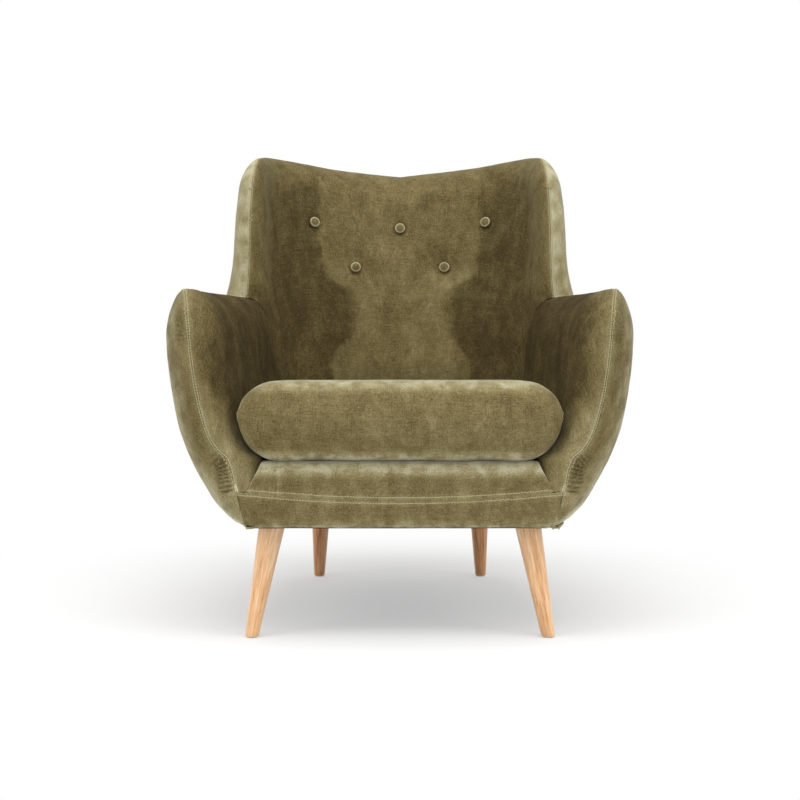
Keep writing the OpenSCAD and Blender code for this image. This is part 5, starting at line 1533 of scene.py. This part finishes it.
# The cushion's zip: two woven tapes sewn under the rear band's strips, metal teeth that mesh in the middle,
# and a slider with its pull.
TAPE_THICK, TOOTH_PITCH, TOOTH_HALF = 0.6, 1.3, 2.6
BRASS = metal("antique_brass", (0.10, 0.07, 0.03, 1), (0.50, 0.39, 0.18, 1), 0.36, (1, 1, 1), 0.06)
TAPE = woven("zip_tape", 0.0007, (0.012, 0.010, 0.006, 1), (0.11, 0.10, 0.062, 1))
tape_low, tape_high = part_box("zip_tapes")
chain_low, chain_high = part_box("zip_teeth")
chain_half = (chain_high.z - chain_low.z) * 500
chain_z, tape_wide = (chain_high.z + chain_low.z) * 500, (tape_high.z - tape_low.z) * 500 - chain_half
for part, sign in (("upper", 1), ("lower", -1)):
    x = np.linspace(tape_low.x * 1000 + 0.3, tape_high.x * 1000 - 0.3, 180)[:, None]
    z = np.linspace(0.1, tape_wide - 0.2, 11)[None, :]
    y = tape_high.y * 1000 - 0.15 + 0.08 * np.cos(x / 3.1) * ramp(z / 6) + 0 * z
    points = np.stack([x + 0 * z, y, chain_z + sign * (chain_half + z) + 0 * x], -1)
    flat = np.stack(np.broadcast_arrays(x, z), -1)
    cloth_sheet(f"zip_tape_{part}", points[::-sign], flat[::-sign], TAPE_THICK - 0.2, TAPE, "seat_cushion",
                "zip_tapes")

# A tooth from its root to its tip: share of its length, and half its width.
TOOTH = [(0.0, 0.5), (0.22, 0.62), (0.4, 0.62), (0.55, 0.34), (0.78, 0.34), (0.9, 0.52), (1.0, 0.44)]
TOOTH_OVER = 0.9        # how far its tip goes past the middle
chain_front, chain_rear = chain_low.y * 1000, chain_high.y * 1000
tooth_y = [chain_front + 0.5, chain_front + 0.9, chain_rear - 0.5, chain_rear - 0.1]
narrow = [0.7, 1.0, 1.0, 0.7]
corners = 2 * len(tooth_y)
verts, faces = [], []
teeth = int((chain_high.x - chain_low.x) * 1000 / TOOTH_PITCH)
for k in range(teeth):
    at = chain_low.x * 1000 + TOOTH_PITCH * (k + 0.5)
    sign = 1 if k % 2 else -1
    base = len(verts)
    for reach, half in TOOTH:
        z = chain_z + sign * (TOOTH_HALF - reach * (TOOTH_HALF + TOOTH_OVER))
        ring = [(at - half * s, y, z) for y, s in zip(tooth_y, narrow)]
        ring += [(at + half * s, y, z) for y, s in zip(tooth_y[::-1], narrow[::-1])]
        verts += ring
    last = base + (len(TOOTH) - 1) * corners
    for start in range(base, last, corners):
        for j in range(corners):
            a, b = start + j, start + (j + 1) % corners
            faces.append((a, b, b + corners, a + corners)[::sign])
    faces.append(tuple(base + j for j in range(corners))[::-sign])
    faces.append(tuple(last + j for j in range(corners))[::sign])
chain = put_in("zip_chain", verts, faces, BRASS)
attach(chain, "seat_cushion")
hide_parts("zip_teeth")
finish(BRASS, "zip_slider", "zip_pull")


# Legs: four round legs turned from oak with a taper, clear satin lacquer over a straight grain, the rear pair
# painted darker, as shade under the chair. Each stands on a moulded plastic glide.
LEG_NODES = ["leg_front_left", "leg_front_right", "leg_rear_left", "leg_rear_right"]
# The middle of each leg at the floor.
LEG_FEET = [(-246.0, -321.0), (246.0, -321.0), (-171.0, 260.0), (171.0, 260.0)]
# Each oak's tones, from the dark of its grain to its palest.
PALE_OAK = [(0.46, 0.215, 0.085, 1), (0.68, 0.37, 0.175, 1), (0.82, 0.48, 0.235, 1), (0.90, 0.62, 0.38, 1)]
# The rear legs' tones are the same oak with painted shade.
SHADED_OAK = [(0.27, 0.095, 0.030, 1), (0.47, 0.195, 0.070, 1), (0.60, 0.285, 0.118, 1), (0.70, 0.37, 0.17, 1)]
for node, foot, top, tones in zip(LEG_NODES, LEG_FEET, LEG_TOPS, [PALE_OAK, PALE_OAK, SHADED_OAK, SHADED_OAK]):
    made, tree, shader = new_material(f"lacquered_oak_{node}", 0.34, 0.45)
    shader.inputs["Coat Weight"].default_value = 0.35
    shader.inputs["Coat Roughness"].default_value = 0.22
    place = join(tree, "TexCoord").outputs["Object"]
    height = join(tree, "SeparateXYZ", {0: place}).outputs["Z"]
    lean = Vector((top[0] - foot[0], top[1] - foot[1], 0)) / (UNDER + 1)
    slid = join(tree, "VectorMath", {0: height, 1: lean}, operation="MULTIPLY").outputs[0]
    upright = join(tree, "VectorMath", {0: place, 1: slid}, operation="SUBTRACT").outputs[0]
    figure = speckle(tree, upright, 64, (1.0, 0.6, 0.05), 3.0, 0.5, 0.8)
    lines = speckle(tree, upright, 330, (1.0, 1.0, 0.03), 2.0, 0.6)
    pores = speckle(tree, upright, 900, (1.0, 1.0, 0.045), 1.0)
    open_pore = join(tree, "Math", {0: pores, 1: 0.33}, operation="LESS_THAN").outputs[0]
    tone = sum_of(tree, (figure, 1.5, -0.25), (lines, 1.0, -0.46), (open_pore, -0.22, 0))
    tree.links.new(ramp_of(tree, tone, list(zip((0.1, 0.36, 0.56, 0.8), tones))), shader.inputs["Base Color"])
    bump(tree, shader, sum_of(tree, (lines, 0.5, 0), (open_pore, -0.6, 0)), 0.18, 0.0003)
    finish(made, node)

made, tree, shader = new_material("glide_plastic", 0.5, 0.4)
place = join(tree, "TexCoord").outputs["Object"]
grey, mottling = speckle(tree, place, 500, detail=3.0), speckle(tree, place, 90, detail=3.0)
tone = sum_of(tree, (grey, 0.4, 0), (mottling, 0.6, 0))
tree.links.new(ramp_of(tree, tone, [(0.2, (0.52, 0.49, 0.42, 1)), (0.8, (0.75, 0.73, 0.67, 1))]),
               shader.inputs["Base Color"])
bump(tree, shader, grey, 0.3, 0.0002)
finish(made, "foot_glides")
